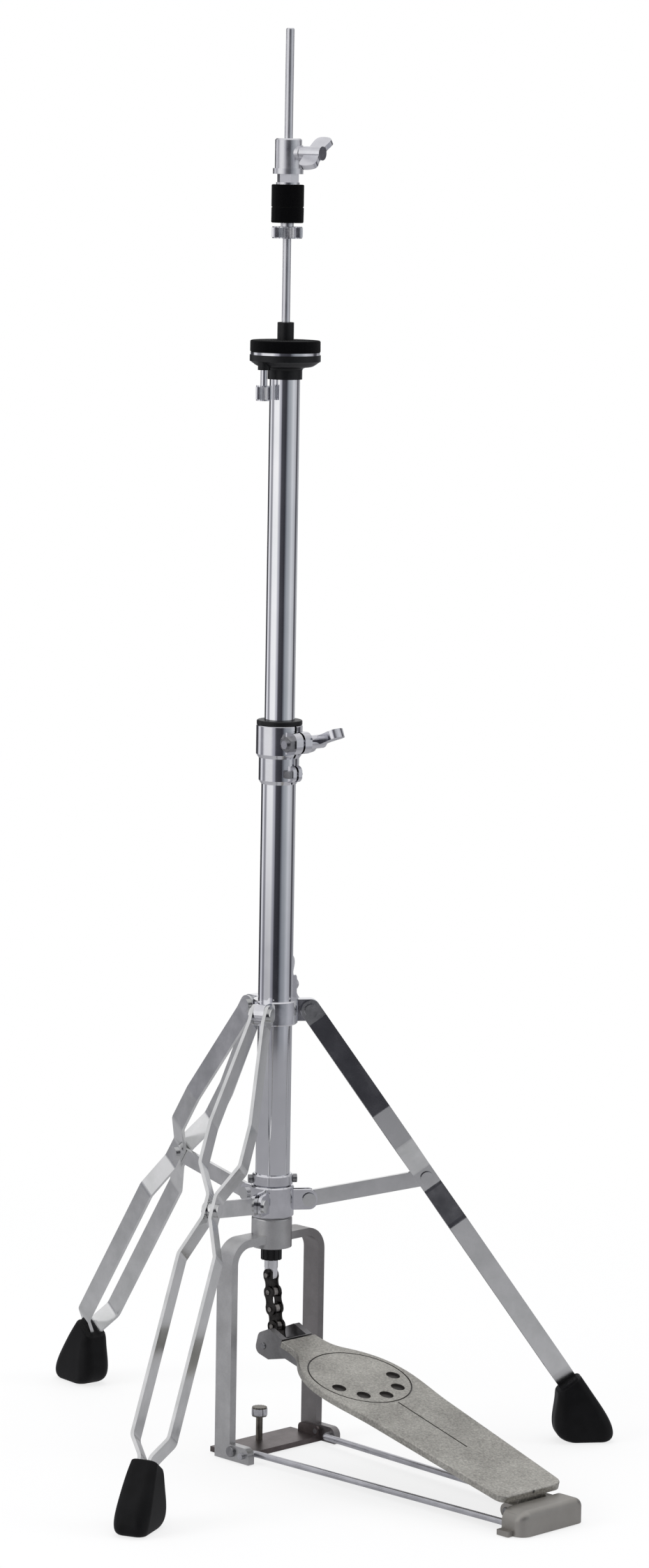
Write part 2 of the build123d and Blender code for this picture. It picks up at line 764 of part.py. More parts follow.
def chain_plates(links, inner_face):
    """The plate pairs of the given links; the last link has the wide eye for the toe pin."""
    with BuildPart() as piece:
        for link in links:
            start = link * chain_pitch
            for side in (-1, 1):
                with BuildSketch(chain_plane(side * inner_face)):
                    with Locations((start + chain_pitch / 2, 0)):
                        SlotCenterToCenter(chain_pitch, chain_plate_height)
                    if link == chain_links - 1:
                        with Locations((chain_length, 0)):
                            Circle(toe_eye_radius + toe_eye_wall)
                    for across in (-1, 1):
                        waist_y = across * (chain_plate_height / 2 + chain_waist_radius - chain_waist_depth)
                        with Locations((start + chain_pitch / 2, waist_y)):
                            Circle(chain_waist_radius, mode=Mode.SUBTRACT)
                    with Locations((start, 0)):
                        Circle(chain_pin_diameter / 2 + slip, mode=Mode.SUBTRACT)
                    with Locations((start + chain_pitch, 0)):
                        if link == chain_links - 1:
                            Circle(toe_eye_radius, mode=Mode.SUBTRACT)
                        else:
                            Circle(chain_pin_diameter / 2 + slip, mode=Mode.SUBTRACT)
                extrude(amount=side * chain_plate_thickness)
    return piece


toe_eye_radius = toe_pin_diameter / 2 + toe_eye_clearance
chain_inner_plates = chain_plates(range(0, chain_links, 2), chain_inner_face)
write(chain_inner_plates, "chain_inner_plates")
chain_outer_plates = chain_plates(range(1, chain_links, 2), chain_outer_face)
write(chain_outer_plates, "chain_outer_plates")

with BuildPart() as chain_pins:
    with BuildSketch(chain_plane(0)):
        for joint in range(chain_links):
            with Locations((joint * chain_pitch, 0)):
                Circle(chain_pin_diameter / 2)
    extrude(amount=chain_pin_length / 2, both=True)
write(chain_pins, "chain_pins")

with BuildPart() as chain_rollers:
    with BuildSketch(chain_plane(0)):
        for joint in range(1, chain_links):
            with Locations((joint * chain_pitch, 0)):
                Circle(chain_roller_diameter / 2)
                Circle(chain_pin_diameter / 2 + slip, mode=Mode.SUBTRACT)
    extrude(amount=eye_thickness / 2, both=True)
write(chain_rollers, "chain_rollers")

# ================================================================ rod, its eye and the return spring
eye_head_top = nut_bottom - seat_gap
with BuildPart() as rod_eye:
    with BuildSketch(Plane.XY.offset(eye_head_bottom)):
        Circle(eye_head_diameter / 2)
    extrude(amount=eye_head_top - eye_head_bottom)
    with BuildSketch(Plane.YZ):
        with Locations((0, eye_pin_z)):
            Circle(eye_width / 2)
            Rectangle(eye_width, eye_head_bottom - eye_pin_z, align=(Align.CENTER, Align.MIN))
            Circle(chain_pin_diameter / 2 + slip, mode=Mode.SUBTRACT)
    extrude(amount=eye_thickness / 2, both=True)
    with BuildSketch(Plane.XY.offset(eye_head_bottom)):
        Circle(rod_radius + slip)
    extrude(amount=eye_head_top - eye_head_bottom, mode=Mode.SUBTRACT)
write(rod_eye, "rod_eye")

coupler_middle = coupler_bottom + coupler_length / 2
write(sleeve(rod_radius, 0, eye_head_bottom, coupler_middle - rod_end_gap / 2), "pull_rod_lower")
with BuildPart() as pull_rod_upper:
    with BuildSketch(Plane.XY.offset(coupler_middle + rod_end_gap / 2)):
        Circle(rod_radius)
    extrude(amount=rod_top - coupler_middle - rod_end_gap / 2)
    chamfer(edges().group_by(Axis.Z)[-1], rod_radius / 4)
write(pull_rod_upper, "pull_rod_upper")
rod_coupler = sleeve(coupler_diameter / 2, rod_radius + slip, coupler_bottom, coupler_bottom + coupler_length)
write(rod_coupler, "rod_coupler")

with BuildPart() as spring_nut:
    with BuildSketch(Plane.XY.offset(nut_bottom)):
        Circle(nut_diameter / 2)
        with PolarLocations(nut_diameter / 2, nut_notches):
            Circle(nut_notch_depth, mode=Mode.SUBTRACT)
    extrude(amount=nut_height)
    with BuildSketch(Plane.XY.offset(socket_bottom)):
        Circle(nut_stem_diameter / 2)
    extrude(amount=nut_stem_top - socket_bottom)
    with BuildSketch(Plane.XY.offset(nut_bottom)):
        Circle(rod_radius + slip)
    extrude(amount=nut_stem_top - nut_bottom, mode=Mode.SUBTRACT)
write(spring_nut, "spring_nut")

write(sleeve(washer_diameter / 2, rod_radius + seat_gap, nut_stem_top, spring_bottom), "spring_seat")

with BuildPart() as spring_washer:
    with BuildSketch(Plane.XY.offset(spring_washer_bottom)):
        Circle(washer_diameter / 2)
    extrude(amount=spring_washer_thickness)
    with BuildSketch(Plane.XY.offset(spring_washer_bottom + spring_washer_thickness)):
        Circle(spring_washer_hub_diameter / 2)
    extrude(amount=spring_washer_hub_height)
    with BuildSketch(Plane.XY.offset(spring_washer_bottom)):
        Circle(rod_radius + slip)
    extrude(amount=spring_washer_thickness + spring_washer_hub_height, mode=Mode.SUBTRACT)
write(spring_washer, "spring_washer")

spring_low = spring_bottom + seat_gap + spring_wire / 2
spring_height = spring_washer_bottom - seat_gap - spring_wire / 2 - spring_low
with BuildPart() as return_spring:
    with BuildLine():
        coil = Helix(spring_height / spring_turns, spring_height, spring_diameter / 2, center=(0, 0, spring_low))
    with BuildSketch(Plane(origin=coil @ 0, z_dir=coil % 0)):
        Circle(spring_wire / 2)
    sweep(is_frenet=True)
write(return_spring, "return_spring")

# ================================================================ tubes
lower_tube = sleeve(lower_tube_radius, lower_tube_bore, lower_tube_bottom, lower_tube_top)
write(lower_tube, "lower_tube")
upper_tube = sleeve(upper_tube_radius, upper_tube_bore, upper_tube_bottom, upper_tube_top)
write(upper_tube, "upper_tube")
rod_guide = sleeve(upper_tube_bore - slip, rod_radius + slip, upper_tube_top - guide_height, upper_tube_top)
write(rod_guide, "rod_guide")

# ================================================================ height clamp
lower_clamp_radius = clamp_lower_diameter / 2
upper_clamp_radius = clamp_upper_diameter / 2
with BuildPart() as height_clamp:
    with BuildSketch(Plane.XZ):
        with BuildLine():
            Polyline(
                (lower_tube_radius + slip, clamp_bottom),
                (lower_clamp_radius - clamp_bevel, clamp_bottom),
                (lower_clamp_radius, clamp_bottom + clamp_bevel_height),
                (lower_clamp_radius, clamp_step),
                (upper_clamp_radius - clamp_bevel, clamp_step),
                (upper_clamp_radius, clamp_step + clamp_bevel_height),
                (upper_clamp_radius, clamp_top - clamp_bevel / 2),
                (upper_clamp_radius - clamp_bevel / 2, clamp_top),
                (lower_tube_radius + slip, clamp_top),
                close=True,
            )
        make_face()
    revolve(axis=Axis.Z)
    with BuildSketch(Plane.YZ):
        with Locations((-clamp_ear_reach, clamp_bolt_z)):
            Rectangle(clamp_ear_reach, clamp_ear_height, align=(Align.MIN, Align.CENTER))
        fillet(vertices().group_by(Axis.X)[0], clamp_ear_height / 2 - clamp_bevel)
    extrude(amount=clamp_ear_width / 2, both=True)
    with BuildSketch(Plane.YZ):
        with Locations((-key_ear_reach, key_bolt_z)):
            Rectangle(key_ear_reach, key_ear_height, align=(Align.MIN, Align.CENTER))
        fillet(vertices().group_by(Axis.X)[0], key_ear_height / 2 - clamp_bevel)
    extrude(amount=key_ear_width / 2, both=True)
    with BuildSketch(Plane.XY.offset(clamp_bottom)):
        Circle(lower_tube_radius + slip)
    extrude(amount=clamp_top - clamp_bottom, mode=Mode.SUBTRACT)
    with BuildSketch(Plane.XY.offset(clamp_step)):
        Circle(bushing_diameter / 2 + slip)
    extrude(amount=clamp_top - clamp_step, mode=Mode.SUBTRACT)
    with BuildSketch(Plane.XY.offset(clamp_bottom)):
        Rectangle(clamp_slit, 2 * clamp_ear_reach, align=(Align.CENTER, Align.MAX))
    extrude(amount=clamp_top - clamp_bottom, mode=Mode.SUBTRACT)
    with BuildSketch(Plane.YZ):
        with Locations((clamp_bolt_y, clamp_bolt_z)):
            Circle(bolt_diameter / 2 + slip)
        with Locations((key_bolt_y, key_bolt_z)):
            Circle(key_bolt_diameter / 2 + slip)
    extrude(amount=clamp_ear_width, both=True, mode=Mode.SUBTRACT)
write(height_clamp, "height_clamp")

with BuildPart() as clamp_bushing:
    with BuildSketch(Plane.XY.offset(lower_tube_top + seat_gap)):
        Circle(bushing_diameter / 2)
    extrude(amount=clamp_top - lower_tube_top - seat_gap)
    with BuildSketch(Plane.XY.offset(clamp_top)):
        Circle(bushing_rim_diameter / 2)
    extrude(amount=bushing_rim_height)
    fillet(edges().group_by(Axis.Z)[-1], bushing_rim_height / 3)
    with BuildSketch(Plane.XY.offset(lower_tube_top)):
        Circle(upper_tube_radius + slip)
    extrude(amount=clamp_top + bushing_rim_height - lower_tube_top, mode=Mode.SUBTRACT)
write(clamp_bushing, "clamp_bushing")

height_bolt_plane = bolt_plane(
    (clamp_ear_width / 2, clamp_bolt_y, clamp_bolt_z), (1, 0, 0), (0, -cos(wing_tilt), sin(wing_tilt))
)
height_wing_bolt = wing_bolt(
    height_bolt_plane,
    clamp_ear_width + clamp_nut_height + bolt_end,
    bolt_diameter,
    root=height_wing_root,
    rise=height_wing_rise,
    tip_depth=height_wing_tip_depth,
    hub_rise=height_wing_hub_rise,
    thickness=height_wing_thickness,
)
write(height_wing_bolt, "height_wing_bolt")

with BuildPart() as height_clamp_nut:
    with BuildSketch(Plane.YZ.offset(-clamp_ear_width / 2)):
        with Locations((clamp_bolt_y, clamp_bolt_z)):
            RegularPolygon(clamp_nut_flats / 2, 6, major_radius=False, rotation=30)
            Circle(bolt_diameter / 2 + slip, mode=Mode.SUBTRACT)
    extrude(amount=-clamp_nut_height)
write(height_clamp_nut, "height_clamp_nut")

with BuildPart() as clamp_key_bolt:
    with BuildSketch(Plane.YZ.offset(-key_ear_width / 2)):
        with Locations((key_bolt_y, key_bolt_z)):
            Circle(key_bolt_diameter / 2)
    extrude(amount=key_ear_width + key_bolt_end)
    with BuildSketch(Plane.YZ.offset(-key_ear_width / 2)):
        with Locations((key_bolt_y, key_bolt_z)):
            Rectangle(key_bolt_head, key_bolt_head)
    extrude(amount=-key_bolt_head_height)
write(clamp_key_bolt, "clamp_key_bolt")

# ================================================================ tripod collars
ring_bottom = lower_collar_top + seat_gap
ring_middle = ring_bottom + ring_height / 2
ring_bore = lower_tube_radius + slip


def ring_screw_plane(angle, distance):
    """Plane square to a radial screw in the swivel ring."""
    return Plane(origin=radial(angle) * distance + Vector(0, 0, ring_middle), z_dir=radial(angle))


with BuildPart() as swivel_ring:
    with BuildSketch(Plane.XY.offset(ring_bottom)):
        Circle(ring_diameter / 2)
    extrude(amount=ring_height)
    chamfer(edges().filter_by(GeomType.CIRCLE), ring_bevel)
    with BuildSketch(Plane.XY.offset(ring_bottom)):
        Circle(ring_bore)
    extrude(amount=ring_height, mode=Mode.SUBTRACT)
    for turn in (0, 180):
        with BuildSketch(ring_screw_plane(ring_screw_angle + turn, 0)):
            Circle(ring_screw_diameter / 2 + slip)
        extrude(amount=ring_diameter, mode=Mode.SUBTRACT)
write(swivel_ring, "swivel_ring")

with BuildPart() as swivel_ring_screws:
    for turn in (0, 180):
        angle = ring_screw_angle + turn
        with BuildSketch(ring_screw_plane(angle, lower_tube_radius + seat_gap)):
            Circle(ring_screw_diameter / 2)
        extrude(amount=ring_diameter / 2 - lower_tube_radius)
        with BuildSketch(ring_screw_plane(angle, ring_diameter / 2)):
            Circle(ring_screw_head_diameter / 2)
        extrude(amount=ring_screw_head_height)
write(swivel_ring_screws, "swivel_ring_screws")

lower_ear_end = strut_pivot_radius + lower_ear_reach
with BuildPart() as tripod_lower_collar:
    with BuildSketch(Plane.XY.offset(lower_collar_bottom)):
        Circle(lower_collar_diameter / 2)
    extrude(amount=lower_collar_height)
    chamfer(edges().filter_by(GeomType.CIRCLE), ring_bevel)
    for angle in leg_angles:
        for side in (-1, 1):
            with BuildSketch(upright_plane(angle, side * strip_inner_at_strut)):
                with Locations((0, strut_pivot_z)):
                    Rectangle(lower_ear_end, lower_ear_height, align=(Align.MIN, Align.CENTER))
                fillet(vertices().group_by(Axis.X)[-1], lower_ear_reach)
            extrude(amount=-side * lower_ear_thickness)
        with BuildSketch(upright_plane(angle)):
            with Locations((strut_pivot_radius, strut_pivot_z)):
                Circle(rivet_diameter / 2 + slip)
        extrude(amount=lower_collar_diameter / 2, both=True, mode=Mode.SUBTRACT)
    with BuildSketch(Plane.XY.offset(lower_collar_bottom)):
        Circle(lower_tube_radius + slip)
    extrude(amount=lower_collar_height, mode=Mode.SUBTRACT)
write(tripod_lower_collar, "tripod_lower_collar")

with BuildPart() as strut_rivets:
    shank_half = strip_inner_at_strut + lower_ear_thickness
    for angle in leg_angles:
        with BuildSketch(upright_plane(angle)):
            with Locations((strut_pivot_radius, strut_pivot_z)):
                Circle(rivet_diameter / 2)
        extrude(amount=shank_half, both=True)
        for side in (-1, 1):
            with BuildSketch(upright_plane(angle, side * shank_half)):
                with Locations((strut_pivot_radius, strut_pivot_z)):
                    Circle(rivet_head_diameter / 2)
            extrude(amount=-side * rivet_head_height)
write(strut_rivets, "strut_rivets")

lug_reach = leg_pivot_radius + lug_end
with BuildPart() as tripod_upper_collar:
    with BuildSketch(Plane.XY.offset(upper_collar_bottom)):
        Circle(upper_collar_diameter / 2)
    extrude(amount=upper_collar_height)
    chamfer(edges().filter_by(GeomType.CIRCLE), ring_bevel)
    for angle in leg_angles:
        with BuildSketch(upright_plane(angle)):
            with Locations((0, leg_pivot_z)):
                Rectangle(lug_reach, lug_height, align=(Align.MIN, Align.CENTER))
            fillet(vertices().group_by(Axis.X)[-1], lug_end)
            with Locations((leg_pivot_radius, leg_pivot_z)):
                Circle(rivet_diameter / 2 + slip, mode=Mode.SUBTRACT)
        extrude(amount=lug_thickness / 2, both=True)
    with BuildSketch(upright_plane(collar_boss_angle)):
        with Locations((0, upper_collar_bottom + ring_bevel)):
            boss_height = collar_boss_top - upper_collar_bottom - ring_bevel
            Rectangle(collar_boss_reach, boss_height, align=(Align.MIN, Align.MIN))
        fillet(vertices().group_by(Axis.X)[-1], collar_boss_width / 4)
    extrude(amount=collar_boss_width / 2, both=True)
    with BuildSketch(Plane.XY.offset(upper_collar_bottom)):
        Circle(lower_tube_radius + slip)
    extrude(amount=collar_boss_top - upper_collar_bottom, mode=Mode.SUBTRACT)
    with BuildSketch(Plane(origin=(0, 0, collar_bolt_z), z_dir=radial(collar_boss_angle))):
        Circle(bolt_diameter / 2 + slip)
    extrude(amount=2 * collar_boss_reach, mode=Mode.SUBTRACT)
write(tripod_upper_collar, "tripod_upper_collar")

tripod_bolt_plane = bolt_plane(
    radial(collar_boss_angle) * collar_boss_reach + Vector(0, 0, collar_bolt_z),
    radial(collar_boss_angle),
    Vector(0, 0, cos(tripod_wing_tilt)) + tangent(collar_boss_angle) * sin(tripod_wing_tilt),
)
tripod_wing_bolt = wing_bolt(
    tripod_bolt_plane, collar_boss_reach - lower_tube_radius - seat_gap, bolt_diameter
)
write(tripod_wing_bolt, "tripod_wing_bolt")

# ================================================================ legs and struts
strip_at_lug = lug_thickness / 2 + side_gap / 2 + strip_thickness / 2
strip_at_strut = strip_inner_at_strut + strip_thickness / 2
leg_tilt = radians(leg_slope)
boot_top = leg_length - boot_grip
strut_rise = atan2(strut_end_z - strut_pivot_z, strut_end_radius - strut_pivot_radius)


def leg_face(angle, offset=0.0):
    """Plane of a leg's broad face: x runs down the leg from its pivot, y across the leg."""
    down = radial(angle) * sin(leg_tilt) - Vector(0, 0, cos(leg_tilt))
    square = radial(angle) * cos(leg_tilt) + Vector(0, 0, sin(leg_tilt))
    origin = radial(angle) * leg_pivot_radius + Vector(0, 0, leg_pivot_z) + square * offset
    return Plane(origin=origin, x_dir=down, z_dir=square)


def leg_side(angle, offset=0.0):
    """Plane of a leg's narrow side: x runs down the leg from its pivot, offset across the leg."""
    face = leg_face(angle)
    return Plane(origin=face.origin + face.y_dir * offset, x_dir=face.x_dir, z_dir=face.y_dir)


def leg_strips(angle):
    """Two flat strips, bent apart twice, closed at the lug, at the strut and in the boot."""
    low_1, out_1, in_2, low_2, low_3, out_3 = strip_bends
    in_4, low_4 = (boot_top - rise for rise in strip_pinch)
    with BuildPart() as piece:
        for side in (-1, 1):
            with BuildSketch(leg_face(angle)):
                with BuildLine():
                    FilletPolyline(
                        (-strip_width / 2, side * strip_at_lug),
                        (low_1, side * strip_at_lug),
                        (out_1, side * strip_bow / 2),
                        (in_2, side * strip_bow / 2),
                        (low_2, side * strip_at_strut),
                        (low_3, side * strip_at_strut),
                        (out_3, side * strip_bow_low / 2),
                        (in_4, side * strip_bow_low / 2),
                        (low_4, side * foot_spread / 2),
                        (leg_length, side * foot_spread / 2),
                        radius=strip_bend_radius,
                    )
                trace(line_width=strip_thickness)
            extrude(amount=strip_width / 2, both=True)
        with BuildSketch(leg_side(angle)):
            with Locations((leg_length / 2, 0)):
                SlotCenterToCenter(leg_length, strip_width)
        extrude(amount=strip_bow, both=True, mode=Mode.INTERSECT)
        with BuildSketch(leg_side(angle)):
            for place in (0, leg_strut_at):
                with Locations((place, 0)):
                    Circle(rivet_diameter / 2 + slip)
        extrude(amount=strip_bow, both=True, mode=Mode.SUBTRACT)
    return piece


def leg_rivets(angle):
    """The pivot rivet through the lug, and the two halves of the rivet at the strut."""
    with BuildPart() as piece:
        pivot_half = strip_at_lug + strip_thickness / 2
        with BuildSketch(leg_side(angle)):
            Circle(rivet_diameter / 2)
        extrude(amount=pivot_half, both=True)
        for side in (-1, 1):
            with BuildSketch(leg_side(angle, side * pivot_half)):
                Circle(rivet_head_diameter / 2)
            extrude(amount=side * rivet_head_height)
            with BuildSketch(leg_side(angle, side * strip_inner_at_strut)):
                with Locations((leg_strut_at, 0)):
                    Circle(rivet_diameter / 2)
            extrude(amount=side * strip_thickness)
            with BuildSketch(leg_side(angle, side * (strip_inner_at_strut + strip_thickness))):
                with Locations((leg_strut_at, 0)):
                    Circle(rivet_head_diameter / 2)
            extrude(amount=side * rivet_head_height)
    return piece


def leg_foot(angle, strips):
    """The rubber boot over the ends of the two strips: a skin through rounded sections."""
    foot_radius = leg_pivot_radius + leg_pivot_z * tan(leg_tilt)
    with BuildPart() as piece:
        for level, heel, toe, width, corner in zip(
            boot_levels, boot_heels, boot_toes, boot_widths, boot_corners
        ):
            middle = radial(angle) * (foot_radius + (toe - heel) / 2) + Vector(0, 0, level)
            with BuildSketch(Plane(origin=middle, x_dir=radial(angle), z_dir=(0, 0, 1))):
                RectangleRounded(heel + toe, width, corner)
        face = leg_face(angle)
        top = face.origin + face.x_dir * boot_top
        with BuildSketch(Plane(origin=top, x_dir=face.z_dir, z_dir=-face.x_dir)):
            RectangleRounded(boot_top_depth, boot_top_width, boot_top_corner)
        loft()
        fillet(piece.faces().sort_by(Axis.Z)[-1].edges(), boot_edge_round)
        add(strips.part, mode=Mode.SUBTRACT)
    return piece


def strut(angle):
    """A flat bar from the lower collar to the middle of a leg."""
    plane = upright_plane(angle)
    inner = plane.from_local_coords((strut_pivot_radius, strut_pivot_z))
    outward = radial(angle) * cos(strut_rise) + Vector(0, 0, sin(strut_rise))
    with BuildPart() as piece:
        with BuildSketch(Plane(origin=inner, x_dir=outward, z_dir=plane.z_dir)):
            with Locations((strut_length / 2, 0)):
                SlotCenterToCenter(strut_length, strut_width)
            Circle(rivet_diameter / 2 + slip, mode=Mode.SUBTRACT)
            with Locations((strut_length, 0)):
                Circle(rivet_diameter / 2 + strut_hole_clearance, mode=Mode.SUBTRACT)
        extrude(amount=strut_thickness / 2, both=True)
    return piece


for leg_name, leg_angle in zip(leg_names, leg_angles):
    strips = leg_strips(leg_angle)
    write(strips, f"leg_{leg_name}_strips")
    write(leg_rivets(leg_angle), f"leg_{leg_name}_rivets")
    write(leg_foot(leg_angle, strips), f"leg_{leg_name}_foot")
    write(strut(leg_angle), f"strut_{leg_name}")

# ================================================================ seat
cup_radius = cup_diameter / 2
cup_neck_radius = cup_neck_diameter / 2
with BuildPart() as seat_cup:
    with BuildSketch(Plane.XZ):
        with BuildLine():
            neck = Polyline((0, cup_bottom), (cup_neck_radius, cup_bottom), (cup_neck_radius, cup_bottom + cup_neck_height))
            flare = Spline(
                neck @ 1,
                (cup_neck_radius + cup_flare * 0.45, cup_bottom + cup_neck_height + cup_flare_height * 0.3),
                (cup_radius, cup_top - cup_rim_height),
                tangents=((0, 1), (1, 0.5)),
            )
            Polyline(flare @ 1, (cup_radius, cup_top), (0, cup_top), (0, cup_bottom))
        make_face()
    revolve(axis=Axis.Z)
    with BuildSketch(Plane.XY.offset(tilt_boss_bottom)):
        with Locations((-tilt_screw_radius, 0)):
            Circle(tilt_boss_diameter / 2)
    extrude(amount=cup_top - tilt_boss_bottom)
    with BuildSketch(Plane.XY.offset(cup_bottom)):
        Circle(upper_tube_radius + slip)
    extrude(amount=upper_tube_top - cup_bottom, mode=Mode.SUBTRACT)
    with BuildSketch(Plane.XY.offset(upper_tube_top)):
        Circle(cup_hole_diameter / 2)
    extrude(amount=cup_top - upper_tube_top, mode=Mode.SUBTRACT)
    with BuildSketch(Plane.XY.offset(cup_bottom)):
        with Locations((-tilt_screw_radius, 0)):
            Circle(tilt_screw_diameter / 2 + slip)
    extrude(amount=cup_top - cup_bottom, mode=Mode.SUBTRACT)
write(seat_cup, "seat_cup")

with BuildPart() as tilt_screw:
    with BuildSketch(Plane.XY.offset(tilt_knob_bottom)):
        with Locations((-tilt_screw_radius, 0)):
            Circle(tilt_knob_diameter / 2)
            with PolarLocations(tilt_knob_diameter / 2, tilt_knob_notches):
                Circle(spur_notch_depth, mode=Mode.SUBTRACT)
    extrude(amount=tilt_knob_height)
    with BuildSketch(Plane.XY.offset(tilt_knob_bottom + tilt_knob_height)):
        with Locations((-tilt_screw_radius, 0)):
            Circle(tilt_screw_diameter / 2)
    extrude(amount=cup_top - seat_gap - tilt_knob_bottom - tilt_knob_height)
write(tilt_screw, "tilt_screw")

washer_top = cup_top + seat_washer_thickness
seat_washer = sleeve(seat_washer_diameter / 2, sleeve_diameter / 2 + slip, cup_top, washer_top)
write(seat_washer, "seat_washer")

with BuildPart() as seat_felt:
    with BuildSketch(Plane.XY.offset(washer_top)):
        Circle(seat_felt_diameter / 2)
    extrude(amount=seat_felt_thickness)
    fillet(edges().group_by(Axis.Z)[-1], felt_round)
    with BuildSketch(Plane.XY.offset(washer_top)):
        Circle(sleeve_diameter / 2 + slip)
    extrude(amount=seat_felt_thickness, mode=Mode.SUBTRACT)
write(seat_felt, "seat_felt")

with BuildPart() as seat_sleeve:
    with BuildSketch(Plane.XY.offset(sleeve_bottom)):
        Circle(sleeve_diameter / 2)
    extrude(amount=sleeve_top - sleeve_bottom)
    with BuildSketch(Plane.XY.offset(cup_top - sleeve_flange_height)):
        Circle(sleeve_flange_diameter / 2)
    extrude(amount=sleeve_flange_height)
    chamfer(edges().group_by(Axis.Z)[-1], (sleeve_diameter - sleeve_bore) / 6)
    with BuildSketch(Plane.XY.offset(sleeve_bottom)):
        Circle(sleeve_bore / 2)
    extrude(amount=sleeve_top - sleeve_bottom, mode=Mode.SUBTRACT)
write(seat_sleeve, "seat_sleeve")

# ================================================================ clutch
clutch_stem_top = clutch_hex_bottom - clutch_washer_thickness
with BuildPart() as clutch_body:
    with BuildSketch(Plane.XY.offset(clutch_flange_z)):
        Circle(clutch_diameter / 2)
    extrude(amount=clutch_top - clutch_flange_z)
    chamfer(edges().group_by(Axis.Z)[-1], clutch_bevel)
    with BuildSketch(Plane.XY.offset(clutch_flange_z - clutch_flange_height)):
        Circle(clutch_flange_diameter / 2)
    extrude(amount=clutch_flange_height)
    with BuildSketch(Plane.XY.offset(clutch_hex_bottom)):
        RegularPolygon(clutch_hex_flats / 2, 6, major_radius=False)
    extrude(amount=clutch_flange_z - clutch_flange_height - clutch_hex_bottom)
    with BuildSketch(Plane.XY.offset(clutch_stem_top)):
        Circle(clutch_washer_diameter / 2)
    extrude(amount=clutch_washer_thickness)
    with BuildSketch(Plane.XY.offset(clutch_stem_bottom)):
        Circle(clutch_stem_diameter / 2)
    extrude(amount=clutch_stem_top - clutch_stem_bottom)
    screw_axis = Plane(origin=(0, 0, clutch_screw_z), z_dir=radial(clutch_screw_angle))
    with BuildSketch(screw_axis):
        Circle(clutch_boss_diameter / 2)
    extrude(amount=clutch_boss_reach)
    with BuildSketch(screw_axis):
        Circle(bolt_diameter / 2 + slip)
    extrude(amount=clutch_boss_reach, mode=Mode.SUBTRACT)
    with BuildSketch(Plane.XY.offset(clutch_stem_bottom)):
        Circle(rod_radius + slip)
    extrude(amount=clutch_top - clutch_stem_bottom, mode=Mode.SUBTRACT)
write(clutch_body, "clutch_body")

clutch_screw_plane = bolt_plane(
    radial(clutch_screw_angle) * clutch_boss_reach + Vector(0, 0, clutch_screw_z),
    radial(clutch_screw_angle),
    Vector(0, 0, cos(clutch_wing_tilt)) + tangent(clutch_screw_angle) * sin(clutch_wing_tilt),
)
clutch_wing_screw = wing_bolt(
    clutch_screw_plane,
    clutch_boss_reach - rod_radius - seat_gap,
    bolt_diameter,
    span=clutch_wing_span,
    root=clutch_wing_root,
    rise=clutch_wing_rise,
    tip_depth=clutch_wing_tip_depth,
    hub_rise=clutch_wing_hub_rise,
)
write(clutch_wing_screw, "clutch_wing_screw")

upper_felt_bottom = clutch_stem_top - clutch_upper_felt_thickness
lower_felt_bottom = upper_felt_bottom - clutch_lower_felt_thickness
for felt_name, felt_bottom, felt_height in (
    ("clutch_upper_felt", upper_felt_bottom, clutch_upper_felt_thickness),
    ("clutch_lower_felt", lower_felt_bottom, clutch_lower_felt_thickness),
):
    with BuildPart() as felt:
        with BuildSketch(Plane.XY.offset(felt_bottom)):
            Circle(clutch_felt_diameter / 2)
        extrude(amount=felt_height)
        fillet(edges().filter_by(GeomType.CIRCLE), clutch_felt_round)
        with BuildSketch(Plane.XY.offset(felt_bottom)):
            Circle(clutch_stem_diameter / 2 + slip)
        extrude(amount=felt_height, mode=Mode.SUBTRACT)
    write(felt, felt_name)

with BuildPart() as clutch_bottom_nut:
    with BuildSketch(Plane.XY.offset(clutch_stem_bottom)):
        Circle(clutch_nut_diameter / 2)
        with PolarLocations(clutch_nut_diameter / 2, clutch_nut_knurls):
            Circle(clutch_knurl_depth, mode=Mode.SUBTRACT)
        Circle(clutch_stem_diameter / 2 + slip, mode=Mode.SUBTRACT)
    extrude(amount=clutch_nut_height)
write(clutch_bottom_nut, "clutch_bottom_nut")
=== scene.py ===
import math

import bmesh
import bpy
from mathutils import Matrix, Vector, noise


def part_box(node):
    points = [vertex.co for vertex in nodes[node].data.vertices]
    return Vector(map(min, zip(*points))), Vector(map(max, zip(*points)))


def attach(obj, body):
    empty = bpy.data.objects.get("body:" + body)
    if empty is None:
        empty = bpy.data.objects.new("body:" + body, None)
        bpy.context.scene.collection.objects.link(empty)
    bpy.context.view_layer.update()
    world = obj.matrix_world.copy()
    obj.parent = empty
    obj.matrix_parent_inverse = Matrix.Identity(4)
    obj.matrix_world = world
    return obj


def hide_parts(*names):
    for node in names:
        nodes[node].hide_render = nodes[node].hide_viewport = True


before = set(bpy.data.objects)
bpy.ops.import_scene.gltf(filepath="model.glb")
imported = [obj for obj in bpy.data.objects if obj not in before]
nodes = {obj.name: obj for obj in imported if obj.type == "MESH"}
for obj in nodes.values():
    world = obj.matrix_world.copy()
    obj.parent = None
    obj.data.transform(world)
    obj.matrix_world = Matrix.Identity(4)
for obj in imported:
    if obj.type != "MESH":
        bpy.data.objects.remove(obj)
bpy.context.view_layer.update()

mm = 0.001

# ---------------------------------------------------------------- studio
# A white paper floor, one large soft light on each side and one overhead, and a room that is
# dark behind the camera, as a product studio is. Chrome shows all of it: a bright left side, a
# dark band down the middle where it faces the camera, and a grey right side with a darker edge.


